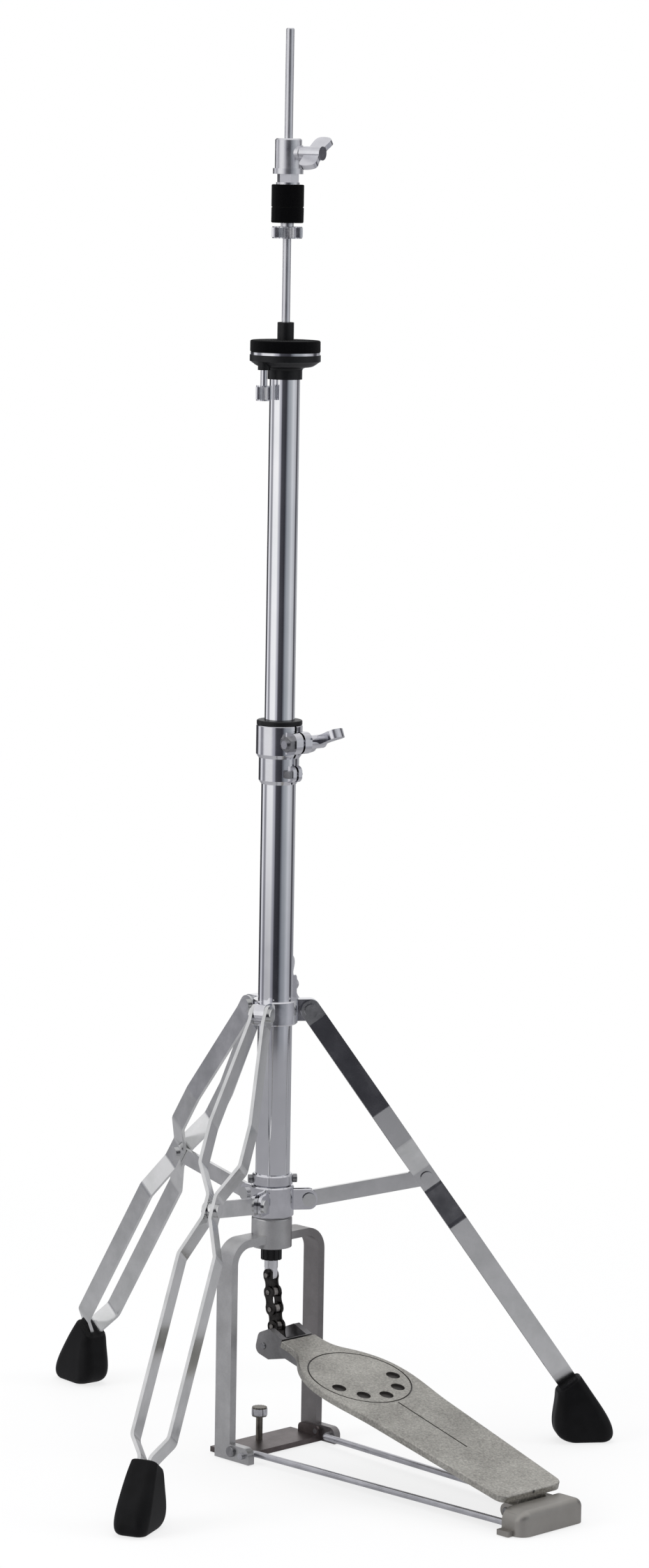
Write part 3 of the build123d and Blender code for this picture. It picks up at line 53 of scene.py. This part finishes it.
def add_node(tree, kind, settings=(), inputs=()):
    """One shader or geometry node, with its settings, its values and its links."""
    node = tree.nodes.new(kind)
    for name, value in dict(settings).items():
        setattr(node, name, value)
    for socket, value in dict(inputs).items():
        target = node.inputs[socket]
        if isinstance(value, bpy.types.NodeSocket):
            tree.links.new(value, target)
        else:
            target.default_value = value
    return node


def linear(code):
    """A hex sRGB colour as the linear values that a socket takes."""
    channels = [int(code[i:i + 2], 16) / 255 for i in (1, 3, 5)]
    curve = [c / 12.92 if c <= 0.04045 else ((c + 0.055) / 1.055) ** 2.4 for c in channels]
    return (*curve, 1.0)


def ramp(tree, fac, stops):
    """A colour ramp over the stops {place: hex}."""
    node = add_node(tree, "ShaderNodeValToRGB", (), {"Fac": fac})
    bar = node.color_ramp.elements
    places = sorted(stops)
    bar[0].position, bar[1].position = places[0], places[-1]
    bar[0].color, bar[1].color = linear(stops[places[0]]), linear(stops[places[-1]])
    for place in places[1:-1]:
        bar.new(place).color = linear(stops[place])
    return node.outputs["Color"]


scene = bpy.context.scene
scene.view_settings.view_transform = "Standard"

# A long lens on the -x, -y side. Its reach from the tube and its height are in metres.
camera_turn = math.radians(-44.076)
camera_aim = camera_turn + math.radians(-0.546)
camera_pitch = math.radians(-7.645)
camera_roll = math.radians(0.966)
camera_reach = 3.516
camera_height = 0.9696
forward = Vector((
    -math.sin(camera_aim) * math.cos(camera_pitch),
    math.cos(camera_aim) * math.cos(camera_pitch),
    math.sin(camera_pitch),
))
level_right = forward.cross(Vector((0, 0, 1))).normalized()
level_up = level_right.cross(forward)
right = level_right * math.cos(camera_roll) + level_up * math.sin(camera_roll)
up = level_up * math.cos(camera_roll) - level_right * math.sin(camera_roll)
lens = bpy.data.cameras.new("studio_camera")
lens.sensor_width = 36
lens.lens = 111.59
lens.clip_end = 60
camera = bpy.data.objects.new("studio_camera", lens)
scene.collection.objects.link(camera)
camera.matrix_world = Matrix.Translation((
    math.sin(camera_turn) * camera_reach,
    -math.cos(camera_turn) * camera_reach,
    camera_height,
)) @ Matrix((right, up, -forward)).transposed().to_4x4()
scene.camera = camera

# Shades of the room by direction. 0.5 is behind the camera, lower values lie to its left.
ROOM = {
    0.00: "#ffffff", 0.02: "#f8f8fa", 0.045: "#6a6a6e", 0.075: "#3c3c40", 0.135: "#48484c",
    0.16: "#f0f0f4", 0.19: "#f0f0f4", 0.215: "#98989e", 0.25: "#98989e", 0.28: "#fafafc",
    0.385: "#ffffff", 0.415: "#c0c0c8", 0.435: "#b4b4bc", 0.455: "#4a4a50", 0.545: "#36363c",
    0.567: "#757980", 0.594: "#9a9ea4", 0.65: "#aeb2b6", 0.70: "#d4d6da", 0.75: "#c4c6ca",
    0.785: "#b8b8bc", 0.805: "#55555a", 0.845: "#55555a", 0.87: "#b4b4b8", 0.935: "#a0a2a4",
    0.97: "#f0f0f2",
}
# The foot of the walls is multiplied by these, and the ceiling is one pale grey. Both start at
# a height that is given as the Z of the direction looked in.
SKIRTING = {0.2: "#dcdce0", 0.3: "#aaaaae", 0.5: "#b4b4b8", 0.62: "#d8d8dc"}
skirting_top, skirting_foot = -0.125, -0.185
ceiling_edge, ceiling_full = 0.35, 0.8
world = bpy.data.worlds.new("studio")
world.use_nodes = True
scene.world = world
tree = world.node_tree
tree.nodes.clear()
ray = add_node(tree, "ShaderNodeLightPath")
way = add_node(tree, "ShaderNodeSeparateXYZ", (), {
    0: add_node(tree, "ShaderNodeTexCoord").outputs["Generated"]})
turn = add_node(tree, "ShaderNodeMath", {"operation": "ARCTAN2"}, {
    0: way.outputs["Y"], 1: way.outputs["X"]})
from_camera = add_node(tree, "ShaderNodeMath", {"operation": "MULTIPLY_ADD"}, {
    0: turn.outputs[0], 1: 1 / math.tau, 2: 0.5 - (camera_turn - math.pi / 2) / math.tau})
around = add_node(tree, "ShaderNodeMath", {"operation": "FRACT"}, {0: from_camera.outputs[0]})
walls = ramp(tree, around.outputs[0], ROOM)
low = add_node(tree, "ShaderNodeMapRange", {"interpolation_type": "SMOOTHSTEP"}, {
    "Value": way.outputs["Z"], "From Min": skirting_top, "From Max": skirting_foot})
skirted = add_node(tree, "ShaderNodeMix", {"data_type": "RGBA", "blend_type": "MULTIPLY"}, {
    0: low.outputs[0], 6: walls, 7: ramp(tree, around.outputs[0], SKIRTING)})
overhead = add_node(tree, "ShaderNodeMapRange", {"interpolation_type": "SMOOTHSTEP"}, {
    "Value": way.outputs["Z"], "From Min": ceiling_edge, "From Max": ceiling_full})
room = add_node(tree, "ShaderNodeMix", {"data_type": "RGBA"}, {
    0: overhead.outputs[0], 6: skirted.outputs[2], 7: linear("#e8e8ea")})
soft = add_node(tree, "ShaderNodeMix", {"data_type": "RGBA"}, {
    0: ray.outputs["Is Glossy Ray"], 6: linear("#d4d4d6"), 7: room.outputs[2]})
through = add_node(tree, "ShaderNodeMath", {"operation": "MAXIMUM"}, {
    0: ray.outputs["Is Camera Ray"], 1: ray.outputs["Is Transmission Ray"]})
shown = add_node(tree, "ShaderNodeMix", {"data_type": "RGBA"}, {
    0: through.outputs[0], 6: soft.outputs[2], 7: linear("#ffffff")})
sky = add_node(tree, "ShaderNodeBackground", (), {"Color": shown.outputs[2], "Strength": 1.0})
add_node(tree, "ShaderNodeOutputWorld", (), {"Surface": sky.outputs[0]})

lit_spot = Vector((0, -0.05, 0.4))
for name, place, size, power in (
    ("left_softbox", (-2.6, 0.9, 1.7), 1.6, 26),
    ("right_softbox", (1.9, -2.4, 1.9), 1.4, 14),
    ("overhead_softbox", (0.2, 0.1, 2.9), 2.0, 22),
):
    lamp = bpy.data.lights.new(name, "AREA")
    lamp.shape, lamp.size, lamp.energy = "DISK", size, power
    softbox = bpy.data.objects.new(name, lamp)
    tilt = (lit_spot - Vector(place)).to_track_quat("-Z", "Y")
    softbox.matrix_world = Matrix.Translation(place) @ tilt.to_matrix().to_4x4()
    softbox.visible_glossy = False
    scene.collection.objects.link(softbox)

floor_radius = 1.62
floor_drop = 0.8 * mm
floor_mesh = bpy.data.meshes.new("paper_floor")
floor_shape = bmesh.new()
bmesh.ops.create_circle(floor_shape, cap_ends=True, segments=128, radius=floor_radius)
floor_shape.to_mesh(floor_mesh)
paper_floor = bpy.data.objects.new("paper_floor", floor_mesh)
scene.collection.objects.link(paper_floor)
for corner in floor_mesh.vertices:
    corner.co.z = -floor_drop
floor_shape.free()

# Seen directly or in chrome the paper glows an even white or grey, and near the feet it is partly
# matt, so that it takes their soft shadows.
shadows_within, plain_beyond = 0.3, 1.1
least_glow = 0.76
paper = bpy.data.materials.new("white_background_paper")
paper.use_nodes = True
tree = paper.node_tree
tree.nodes.clear()
ray = add_node(tree, "ShaderNodeLightPath")
seen = add_node(tree, "ShaderNodeMath", {"operation": "MAXIMUM"}, {
    0: ray.outputs["Is Camera Ray"], 1: ray.outputs["Is Glossy Ray"]})
seen = add_node(tree, "ShaderNodeMath", {"operation": "MAXIMUM"}, {
    0: seen.outputs[0], 1: ray.outputs["Is Transmission Ray"]})
away = add_node(tree, "ShaderNodeVectorMath", {"operation": "LENGTH"}, {
    0: add_node(tree, "ShaderNodeTexCoord").outputs["Object"]})
plain = add_node(tree, "ShaderNodeMapRange", {"interpolation_type": "SMOOTHSTEP"}, {
    "Value": away.outputs["Value"], "From Min": shadows_within, "From Max": plain_beyond,
    "To Min": least_glow, "To Max": 1.0})
share = add_node(tree, "ShaderNodeMath", {"operation": "MULTIPLY"}, {
    0: seen.outputs[0], 1: plain.outputs[0]})
matt = add_node(tree, "ShaderNodeBsdfDiffuse", (), {"Color": linear("#fafafa")})
mirrored = add_node(tree, "ShaderNodeMix", {"data_type": "RGBA"}, {
    0: ray.outputs["Is Glossy Ray"], 6: linear("#ffffff"), 7: linear("#a0a0a4")})
glow = add_node(tree, "ShaderNodeEmission", (), {"Color": mirrored.outputs[2], "Strength": 1.0})
both = add_node(tree, "ShaderNodeMixShader", (), {
    0: share.outputs[0], 1: matt.outputs[0], 2: glow.outputs[0]})
add_node(tree, "ShaderNodeOutputMaterial", (), {"Surface": both.outputs[0]})
floor_mesh.materials.append(paper)

# ---------------------------------------------------------------- tubes and pull rod
# Welded steel tube, polished and chrome plated, and drawn steel rod, nickel plated. Handling
# leaves the tube's plate a little hazy in clouds some 40 mm across, with faint lines along it.
# The rod keeps the finer lines of the die it was drawn through.


def new_finish(name):
    """A material with a Principled surface, the object's own coordinates and its node tree."""
    material = bpy.data.materials.new(name)
    material.use_nodes = True
    tree = material.node_tree
    tree.nodes.clear()
    place = add_node(tree, "ShaderNodeTexCoord").outputs["Object"]
    surface = add_node(tree, "ShaderNodeBsdfPrincipled")
    add_node(tree, "ShaderNodeOutputMaterial", (), {"Surface": surface.outputs[0]})
    return material, tree, place, surface


def link(tree, source, node, socket):
    """Feeds a named socket of a node that is there already."""
    tree.links.new(source, node.inputs[socket])


def dress(material, *names):
    """Gives CAD nodes their finish."""
    for name in names:
        slots = nodes[name].data.materials
        slots.clear()
        slots.append(material)


def plated(name, pale, deep, smooth, hazy, cloud, stretch, line_size, line_depth):
    """A plated metal: cloudy colour and roughness, and the fine marks of how it was worked,
    drawn out along an axis whose stretch is under one and packed along one that is over."""
    material, tree, place, surface = new_finish(name)
    clouds = add_node(tree, "ShaderNodeTexNoise", (), {
        "Vector": place, "Scale": 1 / cloud, "Detail": 3.0, "Roughness": 0.6})
    link(tree, ramp(tree, clouds.outputs["Fac"], {0.3: deep, 0.7: pale}), surface, "Base Color")
    dull = add_node(tree, "ShaderNodeMapRange", (), {
        "Value": clouds.outputs["Fac"], "From Min": 0.3, "From Max": 0.75,
        "To Min": smooth, "To Max": hazy})
    link(tree, dull.outputs[0], surface, "Roughness")
    surface.inputs["Metallic"].default_value = 1.0
    drawn = add_node(tree, "ShaderNodeMapping", (), {"Vector": place, "Scale": stretch})
    lines = add_node(tree, "ShaderNodeTexNoise", (), {
        "Vector": drawn.outputs[0], "Scale": 1 / line_size, "Detail": 2.0})
    relief = add_node(tree, "ShaderNodeBump", (), {
        "Height": lines.outputs["Fac"], "Strength": 0.25, "Distance": line_depth})
    link(tree, relief.outputs[0], surface, "Normal")
    return material


chromed_tube = plated(
    "chrome_plate_on_polished_steel_tube", "#f0f0f3", "#e6e7ea", smooth=0.05, hazy=0.12,
    cloud=40 * mm, stretch=(1, 1, 0.15), line_size=3.0 * mm, line_depth=0.004 * mm)
dress(chromed_tube, "lower_tube", "upper_tube")
drawn_rod = plated(
    "nickel_plate_on_drawn_steel_rod", "#f0f0f2", "#e2e2e6", smooth=0.3, hazy=0.42,
    cloud=25 * mm, stretch=(1, 1, 0.1), line_size=0.8 * mm, line_depth=0.01 * mm)
dress(drawn_rod, "pull_rod_lower", "pull_rod_upper", "rod_coupler", "rod_eye", "spring_washer")

# ---------------------------------------------------------------- frame, base and radius rods
# The inverted U is bent from steel bar, welded under the socket, tumbled and zinc plated, which
# gives a dull grey with a faint grain, and painted shade darkens its colour towards the +x
# upright. The base plate is folded sheet with a darker zinc. The radius rods are bent from wire
# rod in bright zinc, with fine lines along them.


def satin(name, pale, deep, rough, grain, grain_depth, patch, speckle=0.26):
    """A matt metal: patchy colour, and a fine grain from blasting or tumbling, which also tints
    it by the share that is speckle."""
    spread = 0.06
    material, tree, place, surface = new_finish(name)
    patches = add_node(tree, "ShaderNodeTexNoise", (), {
        "Vector": place, "Scale": 1 / patch, "Detail": 4.0, "Roughness": 0.65})
    pits = add_node(tree, "ShaderNodeTexNoise", (), {
        "Vector": place, "Scale": 1 / grain, "Detail": 2.0, "Roughness": 0.7})
    blend = add_node(tree, "ShaderNodeMix", (), {
        0: speckle, 2: patches.outputs["Fac"], 3: pits.outputs["Fac"]})
    tone = ramp(tree, blend.outputs[0], {0.33: deep, 0.67: pale})
    link(tree, tone, surface, "Base Color")
    dull = add_node(tree, "ShaderNodeMapRange", (), {
        "Value": pits.outputs["Fac"], "From Min": 0.3, "From Max": 0.7,
        "To Min": rough - spread, "To Max": rough + spread})
    link(tree, dull.outputs[0], surface, "Roughness")
    surface.inputs["Metallic"].default_value = 1.0
    relief = add_node(tree, "ShaderNodeBump", (), {
        "Height": pits.outputs["Fac"], "Strength": 0.5, "Distance": grain_depth})
    link(tree, relief.outputs[0], surface, "Normal")
    return material, tree, place, surface, tone


zinc_bar, tree, place, surface, tone = satin(
    "zinc_plated_steel_bar", "#d2d2d2", "#b6b6b6", rough=0.36,
    grain=1.2 * mm, grain_depth=0.06 * mm, patch=30 * mm)
# Painted shade: the bar's colour is multiplied darker towards the +x upright.
shade_from, shade_full_at = -20 * mm, 36 * mm
across = add_node(tree, "ShaderNodeSeparateXYZ", (), {0: place})
right_shade = add_node(tree, "ShaderNodeMapRange", {"interpolation_type": "SMOOTHSTEP"}, {
    "Value": across.outputs["X"], "From Min": shade_from, "From Max": shade_full_at})
painted_right_shade = add_node(tree, "ShaderNodeMix", {"data_type": "RGBA", "blend_type": "MULTIPLY"}, {
    0: right_shade.outputs[0], 6: tone, 7: linear("#b4b0b0")})
link(tree, painted_right_shade.outputs[2], surface, "Base Color")
dress(zinc_bar, "base_frame")
dark_zinc = satin(
    "folded_zinc_plated_sheet", "#7c7473", "#5e5756", rough=0.4,
    grain=1.0 * mm, grain_depth=0.05 * mm, patch=18 * mm)[0]
dress(dark_zinc, "base_plate")
rod_zinc = plated(
    "bright_zinc_on_wire_rod", "#dcdce0", "#c0c0c4", smooth=0.24, hazy=0.38,
    cloud=20 * mm, stretch=(1, 0.1, 1), line_size=0.8 * mm, line_depth=0.03 * mm)
dress(rod_zinc, "radius_rods")
screw_steel = plated(
    "zinc_plated_screw_steel", "#a4a4a6", "#7c7c7e", smooth=0.22, hazy=0.4,
    cloud=6 * mm, stretch=(1, 1, 1), line_size=0.6 * mm, line_depth=0.02 * mm)
dress(screw_steel, "base_screws", "swivel_ring_screws", "toe_bracket_screws", "toe_pin",
      "heel_hinge_pin", "clamp_key_bolt", "height_clamp_nut")
dull_screw = plated(
    "dull_zinc_on_spur_screw", "#8c8880", "#66625c", smooth=0.3, hazy=0.5,
    cloud=6 * mm, stretch=(1, 1, 1), line_size=0.6 * mm, line_depth=0.02 * mm)
dress(dull_screw, "spur_bolt")

# ---------------------------------------------------------------- footboard and heel plate
# Cast aluminium, shot blasted to a soft warm grey, with a fork in greyer metal under the toe.
# The board's ring and centre groove are cut after blasting, and their sunk faces carry painted
# shade in a dark non-metal colour, so they read as thin dark lines. Real blasting is finer than
# the board's 1.7 mm grain, which is as coarse as it has to be to show.
cast_aluminium = satin(
    "shot_blasted_cast_aluminium", "#b4b1ac", "#a5a29c", rough=0.46,
    grain=0.9 * mm, grain_depth=0.09 * mm, patch=35 * mm)[0]
dress(cast_aluminium, "heel_plate")
board_finish, tree, place, surface, tone = satin(
    "shot_blasted_cast_aluminium_footboard", "#d6d4cc", "#94918b", rough=0.44,
    grain=1.7 * mm, grain_depth=0.16 * mm, patch=26 * mm, speckle=0.66)
# The board's own axes start at the heel pin: X across, Y along to the toe, Z square to its top.
heel_pin = Vector((0, -262, 12)) * mm
board_slope = math.radians(15)
board_top = 14.2 * mm
ring_place = 177 * mm
ring_reach = 40 * mm
groove_half_width = 1.0 * mm
cut_floor, cut_edge = board_top - 2.4 * mm, board_top - 0.25 * mm
on_board = add_node(tree, "ShaderNodeMapping", {"vector_type": "TEXTURE"}, {
    "Vector": place, "Location": heel_pin, "Rotation": (board_slope, 0, 0)})
split = add_node(tree, "ShaderNodeSeparateXYZ", (), {0: on_board.outputs[0]})


def step_between(tree, value, low, high):
    """One where a value lies between two others, else nought."""
    above = add_node(tree, "ShaderNodeMath", {"operation": "GREATER_THAN"}, {0: value, 1: low})
    below = add_node(tree, "ShaderNodeMath", {"operation": "LESS_THAN"}, {0: value, 1: high})
    return add_node(tree, "ShaderNodeMath", {"operation": "MULTIPLY"}, {
        0: above.outputs[0], 1: below.outputs[0]}).outputs[0]


sunk = step_between(tree, split.outputs["Z"], cut_floor, cut_edge)
from_ring = add_node(tree, "ShaderNodeVectorMath", {"operation": "DISTANCE"}, {
    0: on_board.outputs[0], 1: (0, ring_place, board_top)})
in_ring = add_node(tree, "ShaderNodeMath", {"operation": "LESS_THAN"}, {
    0: from_ring.outputs["Value"], 1: ring_reach})
in_groove = step_between(tree, split.outputs["X"], -groove_half_width, groove_half_width)
either = add_node(tree, "ShaderNodeMath", {"operation": "MAXIMUM"}, {
    0: in_ring.outputs[0], 1: in_groove})
# Painted shade: the sunk faces of the ring and groove take a dark, non-metal colour.
cut_shade = add_node(tree, "ShaderNodeMath", {"operation": "MULTIPLY"}, {
    0: sunk, 1: either.outputs[0]})
painted_cut_shade = add_node(tree, "ShaderNodeMix", {"data_type": "RGBA"}, {
    0: cut_shade.outputs[0], 6: tone, 7: linear("#3a3836")})
link(tree, painted_cut_shade.outputs[2], surface, "Base Color")
outside_cut_shade = add_node(tree, "ShaderNodeMath", {"operation": "SUBTRACT", "use_clamp": True}, {
    0: 1.0, 1: cut_shade.outputs[0]})
link(tree, outside_cut_shade.outputs[0], surface, "Metallic")
dress(board_finish, "footboard")
bracket_metal = satin(
    "grey_cast_toe_bracket", "#a6a5a6", "#858485", rough=0.36,
    grain=0.9 * mm, grain_depth=0.08 * mm, patch=15 * mm)[0]
dress(bracket_metal, "toe_bracket")

# ---------------------------------------------------------------- roller chain and return spring
# Roller chain in black oxide steel. The oxide stays on the plates and wears off the pins and
# rollers, which show brownish steel. The spring is wound from oiled wire.
chain_black = plated(
    "black_oxide_chain_steel", "#4a4846", "#242222", smooth=0.24, hazy=0.42,
    cloud=4 * mm, stretch=(1, 1, 1), line_size=0.7 * mm, line_depth=0.02 * mm)
dress(chain_black, "chain_inner_plates", "chain_outer_plates")
pin_steel = plated(
    "worn_chain_pin_steel", "#a8a4a0", "#6a6664", smooth=0.25, hazy=0.4,
    cloud=3 * mm, stretch=(1, 1, 1), line_size=0.5 * mm, line_depth=0.02 * mm)
dress(pin_steel, "chain_pins", "chain_rollers")
spring_steel = plated(
    "oiled_spring_steel", "#6c6c70", "#4c4c50", smooth=0.25, hazy=0.4,
    cloud=8 * mm, stretch=(1, 1, 1), line_size=0.7 * mm, line_depth=0.02 * mm)
dress(spring_steel, "return_spring")

# ---------------------------------------------------------------- tripod and height clamp
# Legs and struts are flat steel bar, pressed to shape and chrome plated without much polishing,
# so they are bright but not mirrors. The collars, the clamp and the wing bolts are zinc castings,
# chrome plated, with the soft dents of their moulds under the plate.
chromed_bar = plated(
    "chrome_plate_on_flat_steel_bar", "#e6e6e6", "#d2d3d2", smooth=0.10, hazy=0.22,
    cloud=18 * mm, stretch=(1, 1, 1), line_size=5.0 * mm, line_depth=0.03 * mm)
dress(chromed_bar, "strut_rear", "strut_left", "strut_right",
      "leg_rear_strips", "leg_left_strips", "leg_right_strips",
      "leg_rear_rivets", "leg_left_rivets", "leg_right_rivets", "strut_rivets")
chromed_casting = plated(
    "chrome_plate_on_zinc_casting", "#e6e6ea", "#d6d6da", smooth=0.08, hazy=0.17,
    cloud=12 * mm, stretch=(1, 1, 1), line_size=3.0 * mm, line_depth=0.03 * mm)
dress(chromed_casting, "swivel_ring", "tripod_lower_collar", "tripod_upper_collar",
      "height_clamp", "height_wing_bolt", "tripod_wing_bolt")

# ---------------------------------------------------------------- clutch and cymbal seat metal
# The clutch's body and bottom nut are turned from brass and plated with satin nickel, which keeps
# faint rings round the axis. Its wing screw and the seat's small parts match the castings.
turned_nickel = plated(
    "satin_nickel_on_turned_clutch", "#f0f0f2", "#dedee2", smooth=0.24, hazy=0.38,
    cloud=10 * mm, stretch=(1, 1, 6), line_size=1.5 * mm, line_depth=0.02 * mm)
dress(turned_nickel, "clutch_body", "clutch_bottom_nut")
dress(chromed_casting, "clutch_wing_screw", "tilt_screw", "seat_washer")

# ---------------------------------------------------------------- knurled nuts and knobs
# Turned brass and steel with a fine straight knurl rolled into the rim, so fingers can grip the
# clutch's bottom nut, the seat's tilt screw and the spur. The ridges stand half their diagonal
# proud, a few tenths of a millimetre.


def knurl_tree(name, metal):
    """Geometry nodes: slim ridges stood round a circle, made real, in their metal."""
    tree = bpy.data.node_groups.new(name, "GeometryNodeTree")
    for label, kind in (("Count", "NodeSocketInt"), ("Radius", "NodeSocketFloat"),
                        ("Height", "NodeSocketFloat"), ("Ridge", "NodeSocketFloat")):
        tree.interface.new_socket(label, in_out="INPUT", socket_type=kind)
    tree.interface.new_socket("Geometry", in_out="OUTPUT", socket_type="NodeSocketGeometry")
    given = add_node(tree, "NodeGroupInput")
    circle = add_node(tree, "GeometryNodeMeshCircle", (), {
        "Vertices": given.outputs["Count"], "Radius": given.outputs["Radius"]})
    size = add_node(tree, "ShaderNodeCombineXYZ", (), {
        "X": given.outputs["Ridge"], "Y": given.outputs["Ridge"], "Z": given.outputs["Height"]})
    ridge = add_node(tree, "GeometryNodeMeshCube", (), {"Size": size.outputs[0]})
    place = add_node(tree, "GeometryNodeInputPosition")
    facing = add_node(tree, "FunctionNodeAlignRotationToVector", {"axis": "X"}, {
        "Vector": place.outputs[0]})
    edge_up = add_node(tree, "FunctionNodeRotateRotation", {"rotation_space": "LOCAL"}, {
        "Rotation": facing.outputs[0], "Rotate By": (0, 0, math.radians(45))})
    stood = add_node(tree, "GeometryNodeInstanceOnPoints", (), {
        "Points": circle.outputs["Mesh"], "Instance": ridge.outputs["Mesh"],
        "Rotation": edge_up.outputs[0]})
    real = add_node(tree, "GeometryNodeRealizeInstances", (), {"Geometry": stood.outputs[0]})
    clad = add_node(tree, "GeometryNodeSetMaterial", (), {
        "Geometry": real.outputs[0], "Material": metal})
    add_node(tree, "NodeGroupOutput", (), {"Geometry": clad.outputs[0]})
    return tree


knurled_metal = plated(
    "chrome_plate_on_knurled_brass", "#f0f0f2", "#dcdce0", smooth=0.12, hazy=0.26,
    cloud=5 * mm, stretch=(1, 1, 1), line_size=1.5 * mm, line_depth=0.02 * mm)
knurl = knurl_tree("straight_knurl", knurled_metal)


def knurled_rim(name, node, body, lift, height, count, ridge):
    """A band of ridges round a turned CAD node, lifted from its low end, riding on its body."""
    low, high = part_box(node)
    centre = Vector((
        (low[0] + high[0]) / 2, (low[1] + high[1]) / 2, low[2] + lift + height / 2))
    carrier = bpy.data.objects.new(name + "_carrier", bpy.data.meshes.new(name + "_carrier"))
    scene.collection.objects.link(carrier)
    rolled = carrier.modifiers.new("knurl", "NODES")
    rolled.node_group = knurl
    sizes = {"Count": count, "Radius": (high[0] - low[0]) / 2, "Height": height, "Ridge": ridge}
    for item in knurl.interface.items_tree:
        if item.item_type == "SOCKET" and item.in_out == "INPUT":
            rolled[item.identifier] = sizes[item.name]
    bpy.context.view_layer.update()
    made = carrier.evaluated_get(bpy.context.evaluated_depsgraph_get())
    mesh = bpy.data.meshes.new_from_object(made)
    mesh.transform(Matrix.Translation(centre))
    carrier.modifiers.remove(rolled)
    bpy.data.objects.remove(carrier)
    rim = bpy.data.objects.new(name, mesh)
    scene.collection.objects.link(rim)
    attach(rim, body)


knurled_rim("clutch_nut_knurl", "clutch_bottom_nut", "clutch_nut",
            lift=0.8 * mm, height=7.0 * mm, count=72, ridge=0.7 * mm)
knurled_rim("tilt_knob_knurl", "tilt_screw", "tilt_adjuster",
            lift=1.0 * mm, height=9.0 * mm, count=40, ridge=0.6 * mm)
knurled_rim("spur_head_knurl", "spur_bolt", "spur",
            lift=22.0 * mm, height=5.0 * mm, count=40, ridge=0.6 * mm)

# ---------------------------------------------------------------- black plastics
# The bushing, guide, cup, sleeve and spring seat are moulded in black nylon, straight from a
# lightly spark-eroded mould, so they have an even dull shine and no machining marks. The steel
# spring nut is as black and shares their finish.


def matt_black(name, shades, speck, detail, shine, rough, fray=0.5, relief=0.0, depth=0.0):
    """A black that isn't metal: specks between two shades, an even roughness and, where relief
    is given, a skin that the specks raise."""
    material, tree, place, surface = new_finish(name)
    specks = add_node(tree, "ShaderNodeTexNoise", (), {
        "Vector": place, "Scale": 1 / speck, "Detail": detail, "Roughness": fray})
    link(tree, ramp(tree, specks.outputs["Fac"], shades), surface, "Base Color")
    surface.inputs["Specular IOR Level"].default_value = shine
    surface.inputs["Roughness"].default_value = rough
    if relief:
        skin = add_node(tree, "ShaderNodeBump", (), {
            "Height": specks.outputs["Fac"], "Strength": relief, "Distance": depth})
        link(tree, skin.outputs[0], surface, "Normal")
    return material, surface


nylon = matt_black(
    "moulded_black_nylon", {0.35: "#0c0c0e", 0.7: "#161618"}, speck=0.8 * mm, detail=2.0,
    shine=0.35, rough=0.42, relief=0.3, depth=0.05 * mm)[0]
dress(nylon, "clamp_bushing", "rod_guide", "spring_seat", "seat_cup", "seat_sleeve", "spring_nut")

# ---------------------------------------------------------------- rubber boots
# Each boot is one moulding of black rubber pushed over the end of a leg. The skin is dull and
# slightly greyed where wax has come to the surface.
rubber = matt_black(
    "moulded_black_rubber", {0.35: "#020203", 0.75: "#0a0a0c"}, speck=9 * mm, detail=4.0,
    shine=0.22, rough=0.5)[0]
dress(rubber, "leg_rear_foot", "leg_left_foot", "leg_right_foot")

# ---------------------------------------------------------------- felt washers
# Black wool felt, pressed hard and punched into rings: a wide one on the cymbal seat and two on
# the clutch. The fibres drink the light, and the cut rims are slightly uneven, with their corners
# just broken.
felt, surface = matt_black(
    "pressed_black_wool_felt", {0.35: "#020203", 0.75: "#08080a"}, speck=1.1 * mm, detail=5.0,
    shine=0.08, rough=0.95, fray=0.75, relief=0.7, depth=0.35 * mm)
surface.inputs["Sheen Weight"].default_value = 0.04
surface.inputs["Sheen Roughness"].default_value = 0.5
felt_wave_length = 2.2 * mm
felt_wave = 0.16 * mm
felt_shrink = 0.1 * mm


def felt_ring(name, node, body, bore, round_over):
    """A punched ring in the space of its CAD node: flat faces and a square cut, uneven rim."""
    low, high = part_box(node)
    outer = (high[0] - low[0]) / 2
    middle = Vector(((low[0] + high[0]) / 2, (low[1] + high[1]) / 2, 0))
    bottom, top = low[2], high[2]
    flat_until = (bore + outer) / 2
    profile = [(bore, bottom), (flat_until, bottom)]
    for turn in (-90, -60, -30, 0):
        profile.append((
            outer - round_over * (1 - math.cos(math.radians(turn))),
            bottom + round_over * (1 + math.sin(math.radians(turn)))))
    profile += [(radius, bottom + top - height) for radius, height in reversed(profile)]
    shape = bmesh.new()
    rings = []
    steps = 180
    for step in range(steps):
        around = math.tau * step / steps
        outward = Vector((math.cos(around), math.sin(around), 0))
        ring = []
        for radius, height in profile:
            spot = outward * radius + Vector((0, 0, height))
            if radius > flat_until:
                spot += outward * (felt_wave * noise.noise(spot / felt_wave_length) - felt_shrink)
            ring.append(shape.verts.new(spot + middle))
        rings.append(ring)
    for step, ring in enumerate(rings):
        following = rings[(step + 1) % steps]
        for k in range(len(profile)):
            after = (k + 1) % len(profile)
            shape.faces.new((ring[k], following[k], following[after], ring[after]))
    bmesh.ops.recalc_face_normals(shape, faces=shape.faces)
    mesh = bpy.data.meshes.new(name)
    shape.to_mesh(mesh)
    shape.free()
    for face in mesh.polygons:
        face.use_smooth = True
    mesh.materials.append(felt)
    piece = bpy.data.objects.new(name, mesh)
    scene.collection.objects.link(piece)
    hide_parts(node)
    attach(piece, body)


felt_ring("seat_felt_ring", "seat_felt", "cymbal_seat", bore=6.05 * mm, round_over=1.0 * mm)
for place in ("upper", "lower"):
    felt_ring("clutch_" + place + "_felt_ring", "clutch_" + place + "_felt", "clutch",
              bore=4.75 * mm, round_over=0.8 * mm)
